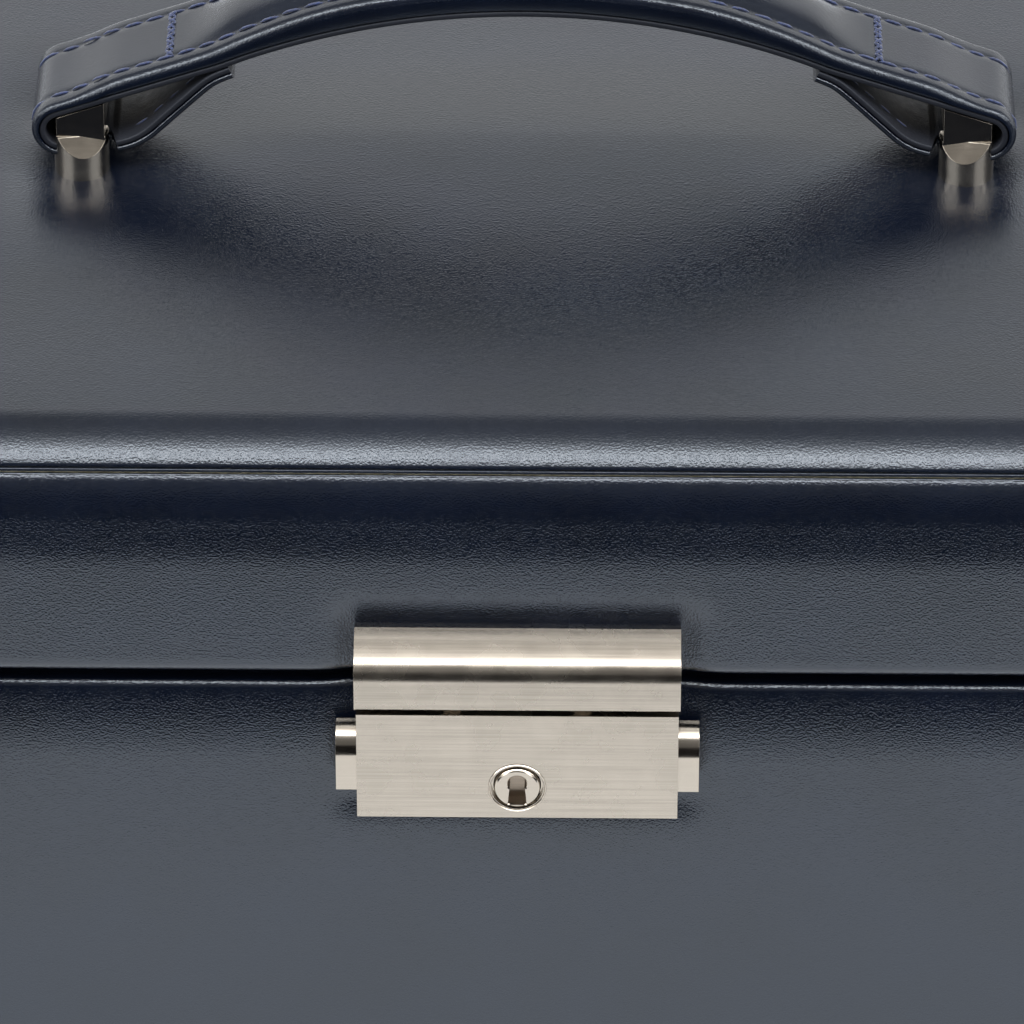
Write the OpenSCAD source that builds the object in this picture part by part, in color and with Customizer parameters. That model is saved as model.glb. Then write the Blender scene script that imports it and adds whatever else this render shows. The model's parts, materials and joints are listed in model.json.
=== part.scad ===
// Leather jewellery case with a padded, hinged lid, a strap handle on two brackets, and a
// two-plate front lock that is released by squeezing a button on each side.
// Millimetres. +Z is up and the front faces -Y. The origin is at the middle of the underside.

/* [Case] */
// Width of the case over its leather
case_w = 232; // [200:2:280]
// Depth of the case over its leather
case_d = 146; // [136:2:180]
// Height of the base up to its rim
base_h = 88; // [76:1:110]
// Height of the lid without its handle
lid_h = 32.2; // [31:0.2:38]
// Gap between the base and the lid
rim_gap = 1.8; // [1.8:0.1:2.2]
// Radius of the upright corners
corner_r = 6; // [5.5:0.1:6.1]
// Radius of the padded edge round the top of the lid
pad_r = 10; // [9:0.5:11]

/* [Walls] */
// Thickness of the leather
leather_t = 1.2; // [1:0.1:1.4]
// Thickness of the front and side boards
board_t = 5; // [5:0.1:6]
// Thickness of the rear boards, which carry the hinges
rear_board_t = 10; // [10:0.5:12]
// Thickness of the floor board and of the board in the top of the lid
panel_t = 4; // [4:0.5:5]
// Thickness of the velvet lining in the base
lining_t = 1; // [0.9:0.1:1]
// Height of the dust collar above the rim of the base
collar_h = 3; // [2.5:0.5:3]

/* [Interior] */
// Depth, front to back, of the front compartments
front_bay = 58; // [56:1:60]
// Width of the small compartment at the front right
small_bay = 56; // [40:2:60]
// Radius of a ring roll
roll_r = 5.3; // [5:0.1:5.4]
// Height of the fixed dividers above the floor of the case
divider_h = 62; // [50:2:64]

/* [Lock] */
// Width of the hasp plate on the lid
hasp_w = 40; // [39.6:0.2:41]
// Width of the lock body on the base
lock_w = 39.6; // [39.4:0.2:40]
// How far the lock body stands out from the leather
lock_proud = 5; // [5:0.1:5.4]
// How far the nose of the hasp stands out from the leather
nose_proud = 6; // [6:0.1:6.4]
// How far each button travels
button_travel = 2; // [1:0.2:2]

/* [Handle] */
// Distance from the middle of one bracket to the middle of the other
bracket_span = 112.6; // [110:0.2:116]
// Width of the strap
strap_w = 16; // [15:0.5:17]
// Height of the underside of the strap above the lid, at the middle
handle_rise = 23.4; // [23:0.1:25]
// Radius of the arch
arch_r = 96; // [92:1:100]
// Thickness of the padded middle of the strap
strap_mid_t = 4.2; // [3.8:0.1:4.6]
// Thickness of the strap between the padding and the loops
strap_end_t = 2.4; // [2.2:0.1:2.6]

/* [Hidden] */
$fn = 48;
cut = 1;                                       // overrun of a cutter past the face that it opens
hull_fn = 32;
front_y = nose_proud - (case_d + nose_proud) / 2;
rear_y = front_y + case_d;
mid_y = (front_y + rear_y) / 2;
lid_z = base_h + rim_gap;
top_z = lid_z + lid_h;
felt_t = 1.2;
felt_inset = 4;
lid_lining_t = 0.6;
collar_t = 1.5;
divider_t = 2.4;

// faces of the boards, measured from the outside inwards
board_x = case_w / 2 - leather_t;
inner_x = board_x - board_t;
inner_front_y = front_y + leather_t + board_t;
inner_rear_y = rear_y - leather_t - rear_board_t;
board_top_z = base_h - leather_t;
lid_board_z = lid_z + leather_t;
lid_board_top_z = top_z - pad_r;
floor_z = felt_t + panel_t + lining_t;

// space inside the dust collar
bay_x = inner_x - lining_t - collar_t;
bay_front_y = inner_front_y + lining_t + collar_t;
bay_rear_y = inner_rear_y - lining_t - collar_t;
divider_y = bay_front_y + front_bay;
platform_z = 54;
roll_count = 5;
roll_pitch = 10.9;
roll_x1 = bay_x - small_bay - divider_t;
rear_divider_x = bay_x / 3;

// hinge: its axis lies in a groove between the two bevelled rear edges
axis_y = rear_y - 3.2;
axis_z = base_h + rim_gap / 2;
knuckle_r = 1.7;
pin_r = 0.85;
pin_fit = 0.05;
bevel_a = 30;
bevel_y = axis_y - 2.6;
leaf_t = 0.7;
leaf_l = 30;
leaf_x = 70;
knuckles = 5;
knuckle_gap = 0.4;
knuckle_l = (leaf_l - (knuckles - 1) * knuckle_gap) / knuckles;
leaf_front_y = inner_rear_y + 0.4;
leaf_screw_y = leaf_front_y + 2.5;
leaf_screw_x = [-10, 0, 10];
leaf_screw_r = 0.6;
leaf_head_r = 1.2;
leaf_screw_l = 6;

// lock: d is the distance in front of the leather, z is measured from the lower edge of the lid
lock_top = -2.6;
lock_bottom = -18.1;
lock_wall = 1;
lock_face_t = 0.8;
mortise_x = 16.9;
mortise_z = [-17.6, -4.6];
mortise_fit = 0.1;
housing_t = 0.8;
housing_back = -5.2;
hook_x = 8;
hook_w = 2;
hook_d = [1.6, 3.2];
hook_z = -10;
hook_gap = 0.6;
knob_proud = 2.6;
knob_r = 3.5;
knob_d = [0.4, 3.9];
knob_z = [-14.8, -9.9];
knob_inner_x = 13.5;
slide_gap = 0.3;
arm_d = [-2.2, -0.4];
arm_z = [-8.9, -6.4];
arm_end_x = 5.4;
tooth_w = 1.2;
key_z = -13.55;
barrel_r = 2.85;
barrel_fit = 0.08;
barrel_d = [-2.6, 5.3];
sleeve_r = 3.2;
bezel_r = 3.6;
bezel_t = 0.18;
cam_l = 3.9;
cam_t = 1;
cam_w = 3;
lock_screw_x = 17.75;
lock_screw_z = [-16.1, -5];
lock_screw_r = 0.5;
lock_boss_r = 0.95;
hasp_z = -1.3;
hasp_top_z = 7.7;
hasp_ease = 0.3;
hasp_root_d = 0.8;
hasp_root_z = 0.5;
hasp_edge_d = 0.4;
nose_r = 3;
nose_z = 3;
hasp_screw_x = 14;
hasp_screw_z = 4;
hasp_screw_r = 0.9;
hasp_screw_d = 3;
spring_l = 5.8;
spring_r = 0.8;
spring_wire_r = 0.22;

// handle: x and z are measured from the middle of the lid's top
handle_y = mid_y - 1;
loop_x = 58.6;
loop_z = 6.2;
loop_r = 2.1;
tail_a = 19;
heel_x = 52.6;
heel_r = 8;
heel_a = [5, 45];
tongue_x = 37.3;
tongue_gap = 0.15;
blend_x = [35, 41];
lining_strap_t = 0.8;
leather_strap_t = 1;
strap_steps = 30;
loop_steps = 12;
padding_x = 50;

// brackets: each has two D-shaped feet and a bar through the loop of the strap
post_r = 3.5;
post_y = 6.1;
post_flat_y = 4.9;
post_lip_z = 3.2;
post_tilt = 10;
bar_y = 7.65;
bar_x = 3.05;
bar_z = 5.3;
bar_top_z = 9;
bracket_screw_y = 7;
bracket_screw_r = 1.25;
bracket_screw_z = 4;
bracket_head_r = 2.4;
bracket_head_t = 1.6;
notch_x = 3.7;
notch_y = 4.7;
notch_z = 5.3;

// mirror in the lid
mirror_w = 164;
mirror_d = 92;
mirror_t = 2;
mirror_back_t = 1.5;
frame_w = 8;
frame_t = 4.2;
frame_lap = 1.5;
mirror_y = (inner_front_y + inner_rear_y) / 2;
lid_roof_z = lid_board_top_z - panel_t;

leather_c = [0.07, 0.09, 0.16];
nickel_c = [0.78, 0.76, 0.71];
board_c = [0.72, 0.57, 0.38];
velvet_c = [0.33, 0.35, 0.42];

// ---------- shared shapes ----------

// block between two corners
module block(low, high) {
    translate(low)
        cube(high - low);
}

// upright block on the plan of the case, inset on all sides, with round corners
module plan_block(inset, z0, z1) {
    r = corner_r - inset;
    x = case_w / 2 - inset;
    translate([0, 0, z0])
        linear_extrude(z1 - z0)
            union() {
                translate([-x + r, front_y + inset])
                    square([2 * (x - r), case_d - 2 * inset]);
                translate([-x, front_y + inset + r])
                    square([2 * x, case_d - 2 * (inset + r)]);
                for (sx = [-1, 1], y = [front_y + inset + r, rear_y - inset - r])
                    translate([sx * (x - r), y])
                        circle(r);
            }
}

// space inside the boards
module inner_block(inset, z0, z1) {
    block([-inner_x + inset, inner_front_y + inset, z0],
          [inner_x - inset, inner_rear_y - inset, z1]);
}

// plan of the padded lid at one height, as a thin slab: it draws in round the edge
module pad_slab(inset, a) {
    r = pad_r - inset;
    draw = r * (1 - cos(a));
    c = corner_r - inset + 0.5 * draw;
    x = case_w / 2 - inset - draw - c;
    y = case_d / 2 - inset - draw - c;
    for (sx = [-1, 1], sy = [-1, 1])
        translate([sx * x, mid_y + sy * y, top_z - pad_r + r * sin(a)])
            cylinder(r = c, h = 0.01, $fn = hull_fn);
}

// padded dome of the lid above its boards
module pad_form(inset) {
    hull()
        for (a = [0 : 15 : 90])
            pad_slab(inset, a);
}

// cutter for the rear edge of the base, which faces up and back
module base_bevel(inset) {
    translate([-case_w, bevel_y - inset * tan(bevel_a / 2), base_h - inset])
        rotate([-bevel_a, 0, 0])
            cube([2 * case_w, 20, 20]);
}

// cutter for the rear edge of the lid, which faces down and back
module lid_bevel(inset) {
    translate([-case_w, bevel_y - inset * tan(bevel_a / 2), lid_z + inset])
        rotate([bevel_a, 0, 0])
            translate([0, 0, -20])
                cube([2 * case_w, 20, 20]);
}

// cylinder along Y on the front, from one distance in front of the leather to another
module front_rod(x, z, r, d0, d1) {
    translate([x, front_y - d0, lid_z + z])
        rotate([90, 0, 0])
            cylinder(r = r, h = d1 - d0);
}

// block on the front, in x, distance in front of the leather, and z
module front_block(x, d, z) {
    block([x[0], front_y - d[1], lid_z + z[0]], [x[1], front_y - d[0], lid_z + z[1]]);
}

// outline in distance and z, swept along X between two places
module front_profile(points, x0, x1) {
    translate([x0, front_y, lid_z])
        rotate([90, 0, 90])
            linear_extrude(x1 - x0)
                polygon([for (p = points) [-p[0], p[1]]]);
}

// outer form of the base boards, and of the lid boards
module base_carcass(z0) {
    difference() {
        plan_block(leather_t, z0, board_top_z);
        base_bevel(leather_t);
    }
}

module lid_carcass() {
    difference() {
        plan_block(leather_t, lid_board_z, lid_board_top_z);
        lid_bevel(leather_t);
    }
}

// ---------- base: carcass and coverings ----------

module base_felt() {
    color([0.12, 0.12, 0.14])
        plan_block(felt_inset, 0, felt_t);
}

module base_floor() {
    color(board_c)
        inner_block(0, felt_t, felt_t + panel_t);
}

module lock_screw_holes(r, d0, d1) {
    for (sx = [-1, 1], z = lock_screw_z)
        front_rod(sx * lock_screw_x, z, r, d0, d1);
}

module base_front_board() {
    board_back = -leather_t - board_t;
    color(board_c)
        difference() {
            intersection() {
                base_carcass(felt_t);
                block([-case_w, front_y, 0], [case_w, inner_front_y, base_h]);
            }
            front_block([-mortise_x, mortise_x], [housing_back - mortise_fit, 0], mortise_z);
            lock_screw_holes(lock_screw_r, board_back - cut, 0);
            lock_screw_holes(lock_boss_r, board_back - cut, board_back + housing_t);
        }
}

module leaf_screw_holes(z0, z1) {
    for (sx = [-1, 1], x = leaf_screw_x)
        translate([sx * leaf_x + x, leaf_screw_y, z0])
            cylinder(r = leaf_screw_r, h = z1 - z0);
}

module base_rear_board() {
    color(board_c)
        difference() {
            intersection() {
                base_carcass(felt_t);
                block([-case_w, inner_rear_y, 0], [case_w, rear_y, base_h]);
            }
            leaf_screw_holes(base_h + leaf_t - leaf_screw_l, base_h);
        }
}

module side_board(side, z0, z1) {
    color(board_c)
        block([side > 0 ? inner_x : -board_x, inner_front_y, z0],
              [side > 0 ? board_x : -inner_x, inner_rear_y, z1]);
}

module base_leather() {
    color(leather_c)
        difference() {
            plan_block(0, felt_t, base_h);
            base_carcass(felt_t - cut);
            inner_block(0, base_h - 5, base_h + cut);
            base_bevel(0);
            front_block([-mortise_x, mortise_x], [-leather_t - cut, cut], mortise_z);
            lock_screw_holes(lock_screw_r, -leather_t - cut, cut);
            leaf_screw_holes(base_h - 5, base_h + cut);
        }
}

module base_lining() {
    color(velvet_c)
        difference() {
            inner_block(0, felt_t + panel_t, base_h);
            inner_block(lining_t, floor_z, base_h + cut);
        }
}

module dust_collar() {
    color(velvet_c)
        difference() {
            inner_block(lining_t, floor_z, base_h + collar_h);
            inner_block(lining_t + collar_t, floor_z - cut, base_h + collar_h + cut);
        }
}

// ---------- base: fixed velvet insert ----------

module ring_platform() {
    color(velvet_c)
        block([-bay_x, bay_front_y, floor_z], [roll_x1, divider_y, platform_z]);
}

// soft roll that lies along X on the platform; rings stand between one roll and the next
module ring_roll(i) {
    y = bay_front_y + front_bay / 2 + (i - (roll_count + 1) / 2) * roll_pitch;
    color(velvet_c)
        translate([-bay_x, y, platform_z + roll_r])
            rotate([0, 90, 0])
                cylinder(r = roll_r, h = bay_x + roll_x1);
}

module long_divider() {
    color(velvet_c)
        block([-bay_x, divider_y, floor_z], [bay_x, divider_y + divider_t, floor_z + divider_h]);
}

module front_divider() {
    color(velvet_c)
        block([roll_x1, bay_front_y, floor_z], [roll_x1 + divider_t, divider_y, floor_z + divider_h]);
}

module rear_divider(side) {
    x = side * rear_divider_x - divider_t / 2;
    color(velvet_c)
        block([x, divider_y + divider_t, floor_z], [x + divider_t, bay_rear_y, floor_z + divider_h]);
}

// ---------- hinges ----------

// barrel of every second knuckle, from the first one
module knuckle_row(first, x_mid, r, grow) {
    for (i = [first : 2 : knuckles - 1])
        translate([x_mid - leaf_l / 2 + i * (knuckle_l + knuckle_gap) - grow, axis_y, axis_z])
            rotate([0, 90, 0])
                cylinder(r = r, h = knuckle_l + 2 * grow);
}

// leaf that lies on one rim and carries its own knuckles
module hinge_leaf(x_mid, first, z0, head_z, head_dir) {
    bore = first == 0 ? pin_r : pin_r + pin_fit;
    color(nickel_c)
        difference() {
            union() {
                difference() {
                    block([x_mid - leaf_l / 2, leaf_front_y, z0],
                          [x_mid + leaf_l / 2, axis_y, z0 + leaf_t]);
                    knuckle_row(1 - first, x_mid, knuckle_r + knuckle_gap, knuckle_gap);
                }
                knuckle_row(first, x_mid, knuckle_r, 0);
            }
            translate([x_mid - leaf_l, axis_y, axis_z])
                rotate([0, 90, 0])
                    cylinder(r = bore, h = 2 * leaf_l);
            for (x = leaf_screw_x)
                translate([x_mid + x, leaf_screw_y, z0 - cut])
                    cylinder(r = leaf_screw_r, h = leaf_t + 2 * cut);
            for (x = leaf_screw_x)
                translate([x_mid + x, leaf_screw_y, head_z])
                    rotate([head_dir > 0 ? 0 : 180, 0, 0])
                        cylinder(r1 = leaf_screw_r, r2 = leaf_head_r, h = leaf_t - 0.1);
        }
}

module hinge_base_leaf(side) {
    hinge_leaf(side * leaf_x, 0, base_h, base_h + 0.1, 1);
}

module hinge_lid_leaf(side) {
    hinge_leaf(side * leaf_x, 1, lid_z - leaf_t, lid_z - 0.1, -1);
}

module hinge_pin(side) {
    color(nickel_c)
        translate([side * leaf_x - leaf_l / 2, axis_y, axis_z])
            rotate([0, 90, 0])
                cylinder(r = pin_r, h = leaf_l);
}

// countersunk screw whose head is flush with the open face of a leaf
module leaf_screws(z_face, dir) {
    color(nickel_c)
        for (sx = [-1, 1], x = leaf_screw_x)
            translate([sx * leaf_x + x, leaf_screw_y, z_face])
                rotate([dir > 0 ? 180 : 0, 0, 0])
                    union() {
                        cylinder(r = leaf_screw_r, h = leaf_screw_l);
                        cylinder(r1 = leaf_head_r, r2 = leaf_screw_r, h = leaf_t - 0.1);
                    }
}

// ---------- lock on the base ----------

module lock_body() {
    cavity_x = lock_w / 2 - lock_wall;
    cavity_z = [lock_bottom + lock_wall, lock_top - lock_wall];
    color(nickel_c)
        difference() {
            front_block([-lock_w / 2, lock_w / 2], [0, lock_proud], [lock_bottom, lock_top]);
            difference() {
                front_block([-cavity_x, cavity_x], [-cut, lock_proud - lock_face_t], cavity_z);
                lock_screw_holes(lock_boss_r, -cut, lock_proud);
                for (sx = [-1, 1], z = lock_screw_z)
                    front_block([sx * lock_w / 2 - 1.9, sx * lock_w / 2 + 1.9],
                                [0, lock_proud], [z - 0.4, z + 0.4]);
            }
            lock_screw_holes(lock_screw_r, -cut, hasp_screw_d);
            front_block([-lock_w, lock_w], [-cut, knob_d[1] + slide_gap],
                        [knob_z[0] - slide_gap, knob_z[1] + knob_r + slide_gap]);
            for (sx = [-1, 1])
                front_block([sx * hook_x - hook_w / 2 - hook_gap, sx * hook_x + hook_w / 2 + hook_gap],
                            [hook_d[0] - hook_gap, hook_d[1] + hook_gap], [hook_z, lock_top + cut]);
            front_rod(0, key_z, sleeve_r, 0, lock_proud + cut);
        }
}

// tray let into the front board; it holds the slides and the spring
module lock_housing() {
    x = mortise_x - mortise_fit;
    z = [mortise_z[0] + mortise_fit, mortise_z[1] - mortise_fit];
    cradle_z = arm_z[0] + (arm_z[1] - arm_z[0]) / 2 - spring_r - spring_wire_r;
    color("gainsboro")
        union() {
            difference() {
                front_block([-x, x], [housing_back, 0], z);
                front_block([-x + housing_t, x - housing_t], [housing_back + housing_t, cut],
                            [z[0] + housing_t, z[1] - housing_t]);
            }
            front_block([-spring_l / 2, spring_l / 2], [housing_back + housing_t / 2, arm_d[1]],
                        [cradle_z - 0.5, cradle_z]);
        }
}

module lock_bezel() {
    color(nickel_c)
        difference() {
            union() {
                front_rod(0, key_z, sleeve_r, 0, lock_proud + bezel_t);
                front_rod(0, key_z, bezel_r, lock_proud, lock_proud + bezel_t);
            }
            front_rod(0, key_z, barrel_r + barrel_fit, -cut, lock_proud + cut);
        }
}

// barrel with a keyhole: a round head over a slot that widens downwards
module lock_cylinder() {
    head_z = key_z + 0.55;
    slot_z = key_z - 2.3;
    color(nickel_c)
        difference() {
            front_rod(0, key_z, barrel_r, barrel_d[0], barrel_d[1]);
            front_rod(0, head_z, 1.15, 1, barrel_d[1] + cut);
            translate([0, front_y - 1, lid_z])
                rotate([90, 0, 0])
                    linear_extrude(barrel_d[1])
                        polygon([[-0.8, head_z], [0.8, head_z], [1.05, slot_z], [-1.05, slot_z]]);
        }
}

module lock_cam() {
    color("gainsboro")
        union() {
            front_rod(0, key_z, cam_w / 2, barrel_d[0] - cam_t, barrel_d[0]);
            front_block([0, cam_l], [barrel_d[0] - cam_t, barrel_d[0]],
                        [key_z - cam_w / 2, key_z + cam_w / 2]);
        }
}

// coil spring between the two slides, at the length it has with both buttons pressed
module lock_spring() {
    z = arm_z[0] + (arm_z[1] - arm_z[0]) / 2;
    d = (arm_d[0] + arm_d[1]) / 2;
    color("silver")
        translate([-spring_l / 2, front_y - d, lid_z + z])
            rotate([0, 90, 0])
                linear_extrude(spring_l, twist = 360 * 5, slices = 70)
                    translate([spring_r, 0])
                        circle(spring_wire_r, $fn = 8);
}

// knob with a quarter-round top, and the slide behind it with its catch tooth
module button(side) {
    outer = lock_w / 2 + knob_proud;
    top = knob_z[1];
    knob = concat(
        [[knob_d[0], knob_z[0]], [knob_d[1], knob_z[0]]],
        [for (a = [0 : 9 : 90]) [knob_d[0] + knob_r * cos(a), top + knob_r * sin(a)]]
    );
    color(nickel_c)
        mirror([side > 0 ? 0 : 1, 0, 0])
            union() {
                front_profile(knob, knob_inner_x, outer);
                front_block([knob_inner_x, knob_inner_x + 2], [arm_d[0], knob_d[0] + 1], arm_z);
                front_block([arm_end_x, knob_inner_x + 2], arm_d, arm_z);
                front_block([arm_end_x, arm_end_x + tooth_w], [arm_d[0], hook_d[1]], arm_z);
            }
}

module lock_screws() {
    back = -leather_t - board_t;
    color("silver")
        union() {
            lock_screw_holes(lock_screw_r, back, hasp_screw_d);
            lock_screw_holes(lock_boss_r, back, back + housing_t);
        }
}

// ---------- hasp on the lid ----------

module hasp_screw_holes(r, d0, d1) {
    for (sx = [-1, 1])
        front_rod(sx * hasp_screw_x, hasp_screw_z, r, d0, d1);
}

// plate with a flat lower face, a round nose and a slope back to the leather, and two hooks
// into the lock body
module hasp_plate() {
    nose = [nose_proud - nose_r, nose_z];
    profile = concat(
        [[hasp_root_d, hasp_z], [nose_proud - hasp_ease, hasp_z], [nose_proud, hasp_z + hasp_ease]],
        [for (a = [0 : 10 : 60]) nose + nose_r * [cos(a), sin(a)]],
        [[hasp_edge_d, hasp_top_z], [0, hasp_top_z - hasp_ease], [0, hasp_root_z], [hasp_root_d, 0]]
    );
    color(nickel_c)
        difference() {
            union() {
                front_profile(profile, -hasp_w / 2, hasp_w / 2);
                for (sx = [-1, 1])
                    front_block([sx * hook_x - hook_w / 2, sx * hook_x + hook_w / 2],
                                hook_d, [hook_z, -1]);
            }
            hasp_screw_holes(hasp_screw_r, -cut, hasp_screw_d);
        }
}

module hasp_screws() {
    back = -leather_t - board_t;
    color("silver")
        union() {
            hasp_screw_holes(hasp_screw_r, back, hasp_screw_d);
            hasp_screw_holes(2 * hasp_screw_r, back, back + 1);
        }
}

// ---------- lid: carcass and coverings ----------

module bracket_screw_holes(r, z0, z1) {
    for (sx = [-1, 1], sy = [-1, 1])
        translate([sx * bracket_span / 2, handle_y + sy * bracket_screw_y, z0])
            cylinder(r = r, h = z1 - z0);
}

module lid_top_board() {
    color(board_c)
        difference() {
            inner_block(0, lid_roof_z, lid_board_top_z);
            bracket_screw_holes(bracket_screw_r, lid_roof_z - cut, top_z);
            bracket_screw_holes(bracket_head_r, lid_roof_z - cut, lid_roof_z + bracket_head_t);
        }
}

module lid_front_board() {
    back = -leather_t - board_t;
    color(board_c)
        difference() {
            intersection() {
                lid_carcass();
                block([-case_w, front_y, lid_z], [case_w, inner_front_y, top_z]);
            }
            hasp_screw_holes(hasp_screw_r, back - cut, 0);
            hasp_screw_holes(2 * hasp_screw_r, back - cut, back + 1);
        }
}

module lid_rear_board() {
    color(board_c)
        difference() {
            intersection() {
                lid_carcass();
                block([-case_w, inner_rear_y, lid_z], [case_w, rear_y, top_z]);
            }
            leaf_screw_holes(lid_z, lid_z - leaf_t + leaf_screw_l);
        }
}

module lid_foam() {
    color("khaki")
        difference() {
            pad_form(leather_t);
            bracket_screw_holes(bracket_screw_r, lid_roof_z, top_z);
        }
}

seam_z = top_z - pad_r + pad_r * sin(45);

module lid_side_leather() {
    color(leather_c)
        difference() {
            union() {
                plan_block(0, lid_z, lid_board_top_z);
                intersection() {
                    pad_form(0);
                    block([-case_w, -case_d, lid_board_top_z], [case_w, case_d, seam_z]);
                }
            }
            lid_carcass();
            pad_form(leather_t);
            inner_block(0, lid_z - cut, lid_board_top_z);
            lid_bevel(0);
            hasp_screw_holes(hasp_screw_r, -leather_t - cut, cut);
            leaf_screw_holes(lid_z - cut, lid_board_z + cut);
        }
}

module lid_top_leather() {
    color(leather_c)
        difference() {
            intersection() {
                pad_form(0);
                block([-case_w, -case_d, seam_z], [case_w, case_d, top_z + cut]);
            }
            pad_form(leather_t);
            for (sx = [-1, 1], sy = [-1, 1])
                translate([sx * bracket_span / 2, handle_y + sy * post_y, top_z - 5])
                    cylinder(r = post_r + 0.1, h = 10);
        }
}

module lid_lining() {
    color(velvet_c)
        difference() {
            inner_block(0, lid_board_z, lid_roof_z);
            inner_block(lid_lining_t, lid_z, lid_roof_z - lid_lining_t);
            hasp_screw_holes(2 * hasp_screw_r, -20, 0);
        }
}

// ---------- mirror ----------

module mirror_block(grow, z0, z1) {
    block([-mirror_w / 2 - grow, mirror_y - mirror_d / 2 - grow, z0],
          [mirror_w / 2 + grow, mirror_y + mirror_d / 2 + grow, z1]);
}

mirror_top = lid_roof_z - lid_lining_t;
glass_z = mirror_top - mirror_back_t - mirror_t;

module mirror_backing() {
    color(board_c)
        mirror_block(0, mirror_top - mirror_back_t, mirror_top);
}

module mirror_glass() {
    color("lightsteelblue")
        mirror_block(0, glass_z, glass_z + mirror_t);
}

module mirror_frame() {
    color(leather_c)
        difference() {
            mirror_block(frame_w, mirror_top - frame_t, mirror_top);
            mirror_block(0, glass_z, mirror_top + cut);
            mirror_block(-frame_lap, mirror_top - frame_t - cut, mirror_top);
        }
}

// ---------- handle ----------

function smooth(t) = let (k = max(0, min(1, t))) k * k * (3 - 2 * k);
function mix(a, b, k) = a + (b - a) * k;

// underside of the strap: an arch that runs into a straight tail before the loop
function arch_z(x) = handle_rise - arch_r + sqrt(arch_r * arch_r - x * x);
function tail_z(x) = loop_z + loop_r / cos(tail_a) + (loop_x - x) * tan(tail_a);
function under_z(x) =
    mix(arch_z(x), tail_z(x), smooth((x - blend_x[0]) / (blend_x[1] - blend_x[0])));

// inner face of the run under the strap: flat from the loop, a heel, then a straight climb
heel_end = [
    heel_x - heel_r * (sin(heel_a[1]) - sin(heel_a[0])),
    heel_r * (cos(heel_a[0]) - cos(heel_a[1]))
];
function flat_z(x) = loop_z - loop_r / cos(heel_a[0]) + (loop_x - x) * tan(heel_a[0]);
function heel_z(x) =
    let (s = sin(heel_a[0]) + (heel_x - x) / heel_r)
    flat_z(heel_x) + heel_r * (cos(heel_a[0]) - sqrt(1 - s * s));
function climb_z(x) = flat_z(heel_x) + heel_end[1] + (heel_end[0] - x) * tan(heel_a[1]);
function run_z(x) =
    x > heel_x ? flat_z(x)
    : x > heel_end[0] ? heel_z(x)
    : min(under_z(x) - tongue_gap, climb_z(x));

// inner face of one half of the strap, from its middle round the loop to the end of the tongue
loop_start = loop_x + loop_r * sin(tail_a);
half_face = concat(
    [for (i = [0 : strap_steps - 1]) let (x = loop_start * i / strap_steps) [x, under_z(x)]],
    [for (i = [0 : loop_steps])
        let (a = mix(90 - tail_a, -90 - heel_a[0], i / loop_steps))
        [loop_x + loop_r * cos(a), loop_z + loop_r * sin(a)]],
    [for (i = [1 : strap_steps])
        let (x = mix(loop_x - 0.4, tongue_x, i / strap_steps))
        [x, run_z(x)]]
);
face_n = len(half_face);

function unit(v) = v / norm(v);
function face_normal(i) =
    let (
        a = half_face[max(0, i - 1)],
        b = half_face[min(face_n - 1, i + 1)],
        t = i == 0 ? [1, 0] : unit(b - a)
    )
    [-t[1], t[0]];

// total thickness: padded in the middle, thin round the loop and along the tongue
function strap_t(i) =
    i >= strap_steps ? lining_strap_t + leather_strap_t
    : let (x = half_face[i][0], padded = mix(strap_mid_t, strap_end_t, smooth((x - 20) / 24)))
      mix(padded, lining_strap_t + leather_strap_t, smooth((x - 50) / 8));

function face_at(i, offset) = half_face[i] + offset * face_normal(i);
// whole face from one half: its mirror image, then the half without the shared middle point
function both_sides(half) = concat(
    [for (i = [len(half) - 1 : -1 : 0]) [-half[i][0], half[i][1]]],
    [for (i = [1 : len(half) - 1]) half[i]]
);
function reversed(points) = [for (i = [len(points) - 1 : -1 : 0]) points[i]];

// band between two faces of the strap, each given for one half
module strap_band(inner, outer) {
    translate([0, handle_y + strap_w / 2, top_z])
        rotate([90, 0, 0])
            linear_extrude(strap_w)
                polygon(concat(both_sides(inner), reversed(both_sides(outer))));
}

// clearance round the feet of the brackets in the run under the strap
module strap_notches() {
    for (sx = [-1, 1], sy = [0, 1])
        translate([sx * bracket_span / 2 - notch_x, handle_y, top_z])
            mirror([0, sy, 0])
                translate([0, notch_y, 0])
                    cube([2 * notch_x, strap_w, notch_z]);
}

module handle_lining() {
    color([0.10, 0.10, 0.13])
        difference() {
            strap_band(half_face, [for (i = [0 : face_n - 1]) face_at(i, lining_strap_t)]);
            strap_notches();
        }
}

module handle_padding() {
    last = floor(strap_steps * padding_x / loop_start);
    color("khaki")
        strap_band([for (i = [0 : last]) face_at(i, lining_strap_t)],
                   [for (i = [0 : last]) face_at(i, strap_t(i) - leather_strap_t)]);
}

module handle_leather() {
    color(leather_c)
        difference() {
            strap_band([for (i = [0 : face_n - 1]) face_at(i, strap_t(i) - leather_strap_t)],
                       [for (i = [0 : face_n - 1]) face_at(i, strap_t(i))]);
            strap_notches();
        }
}

// foot on one side of the strap: a D in plan, its outer half cut to a slant that also falls
// towards the middle of the case
module bracket_foot() {
    slant = atan2(bar_z - post_lip_z, post_y + post_r - bar_y);
    difference() {
        translate([0, post_y, -leather_t])
            cylinder(r = post_r, h = bar_z + leather_t);
        block([-post_r - cut, 0, -leather_t - cut], [post_r + cut, post_flat_y, bar_z + cut]);
        intersection() {
            block([-10, bar_y, 0], [10, 20, 20]);
            translate([0, bar_y, bar_z])
                rotate([-slant, -post_tilt, 0])
                    translate([-10, -10, 0])
                        cube(20);
        }
        translate([0, bracket_screw_y, -leather_t - cut])
            cylinder(r = bracket_screw_r, h = bracket_screw_z + leather_t + cut);
    }
}

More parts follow.
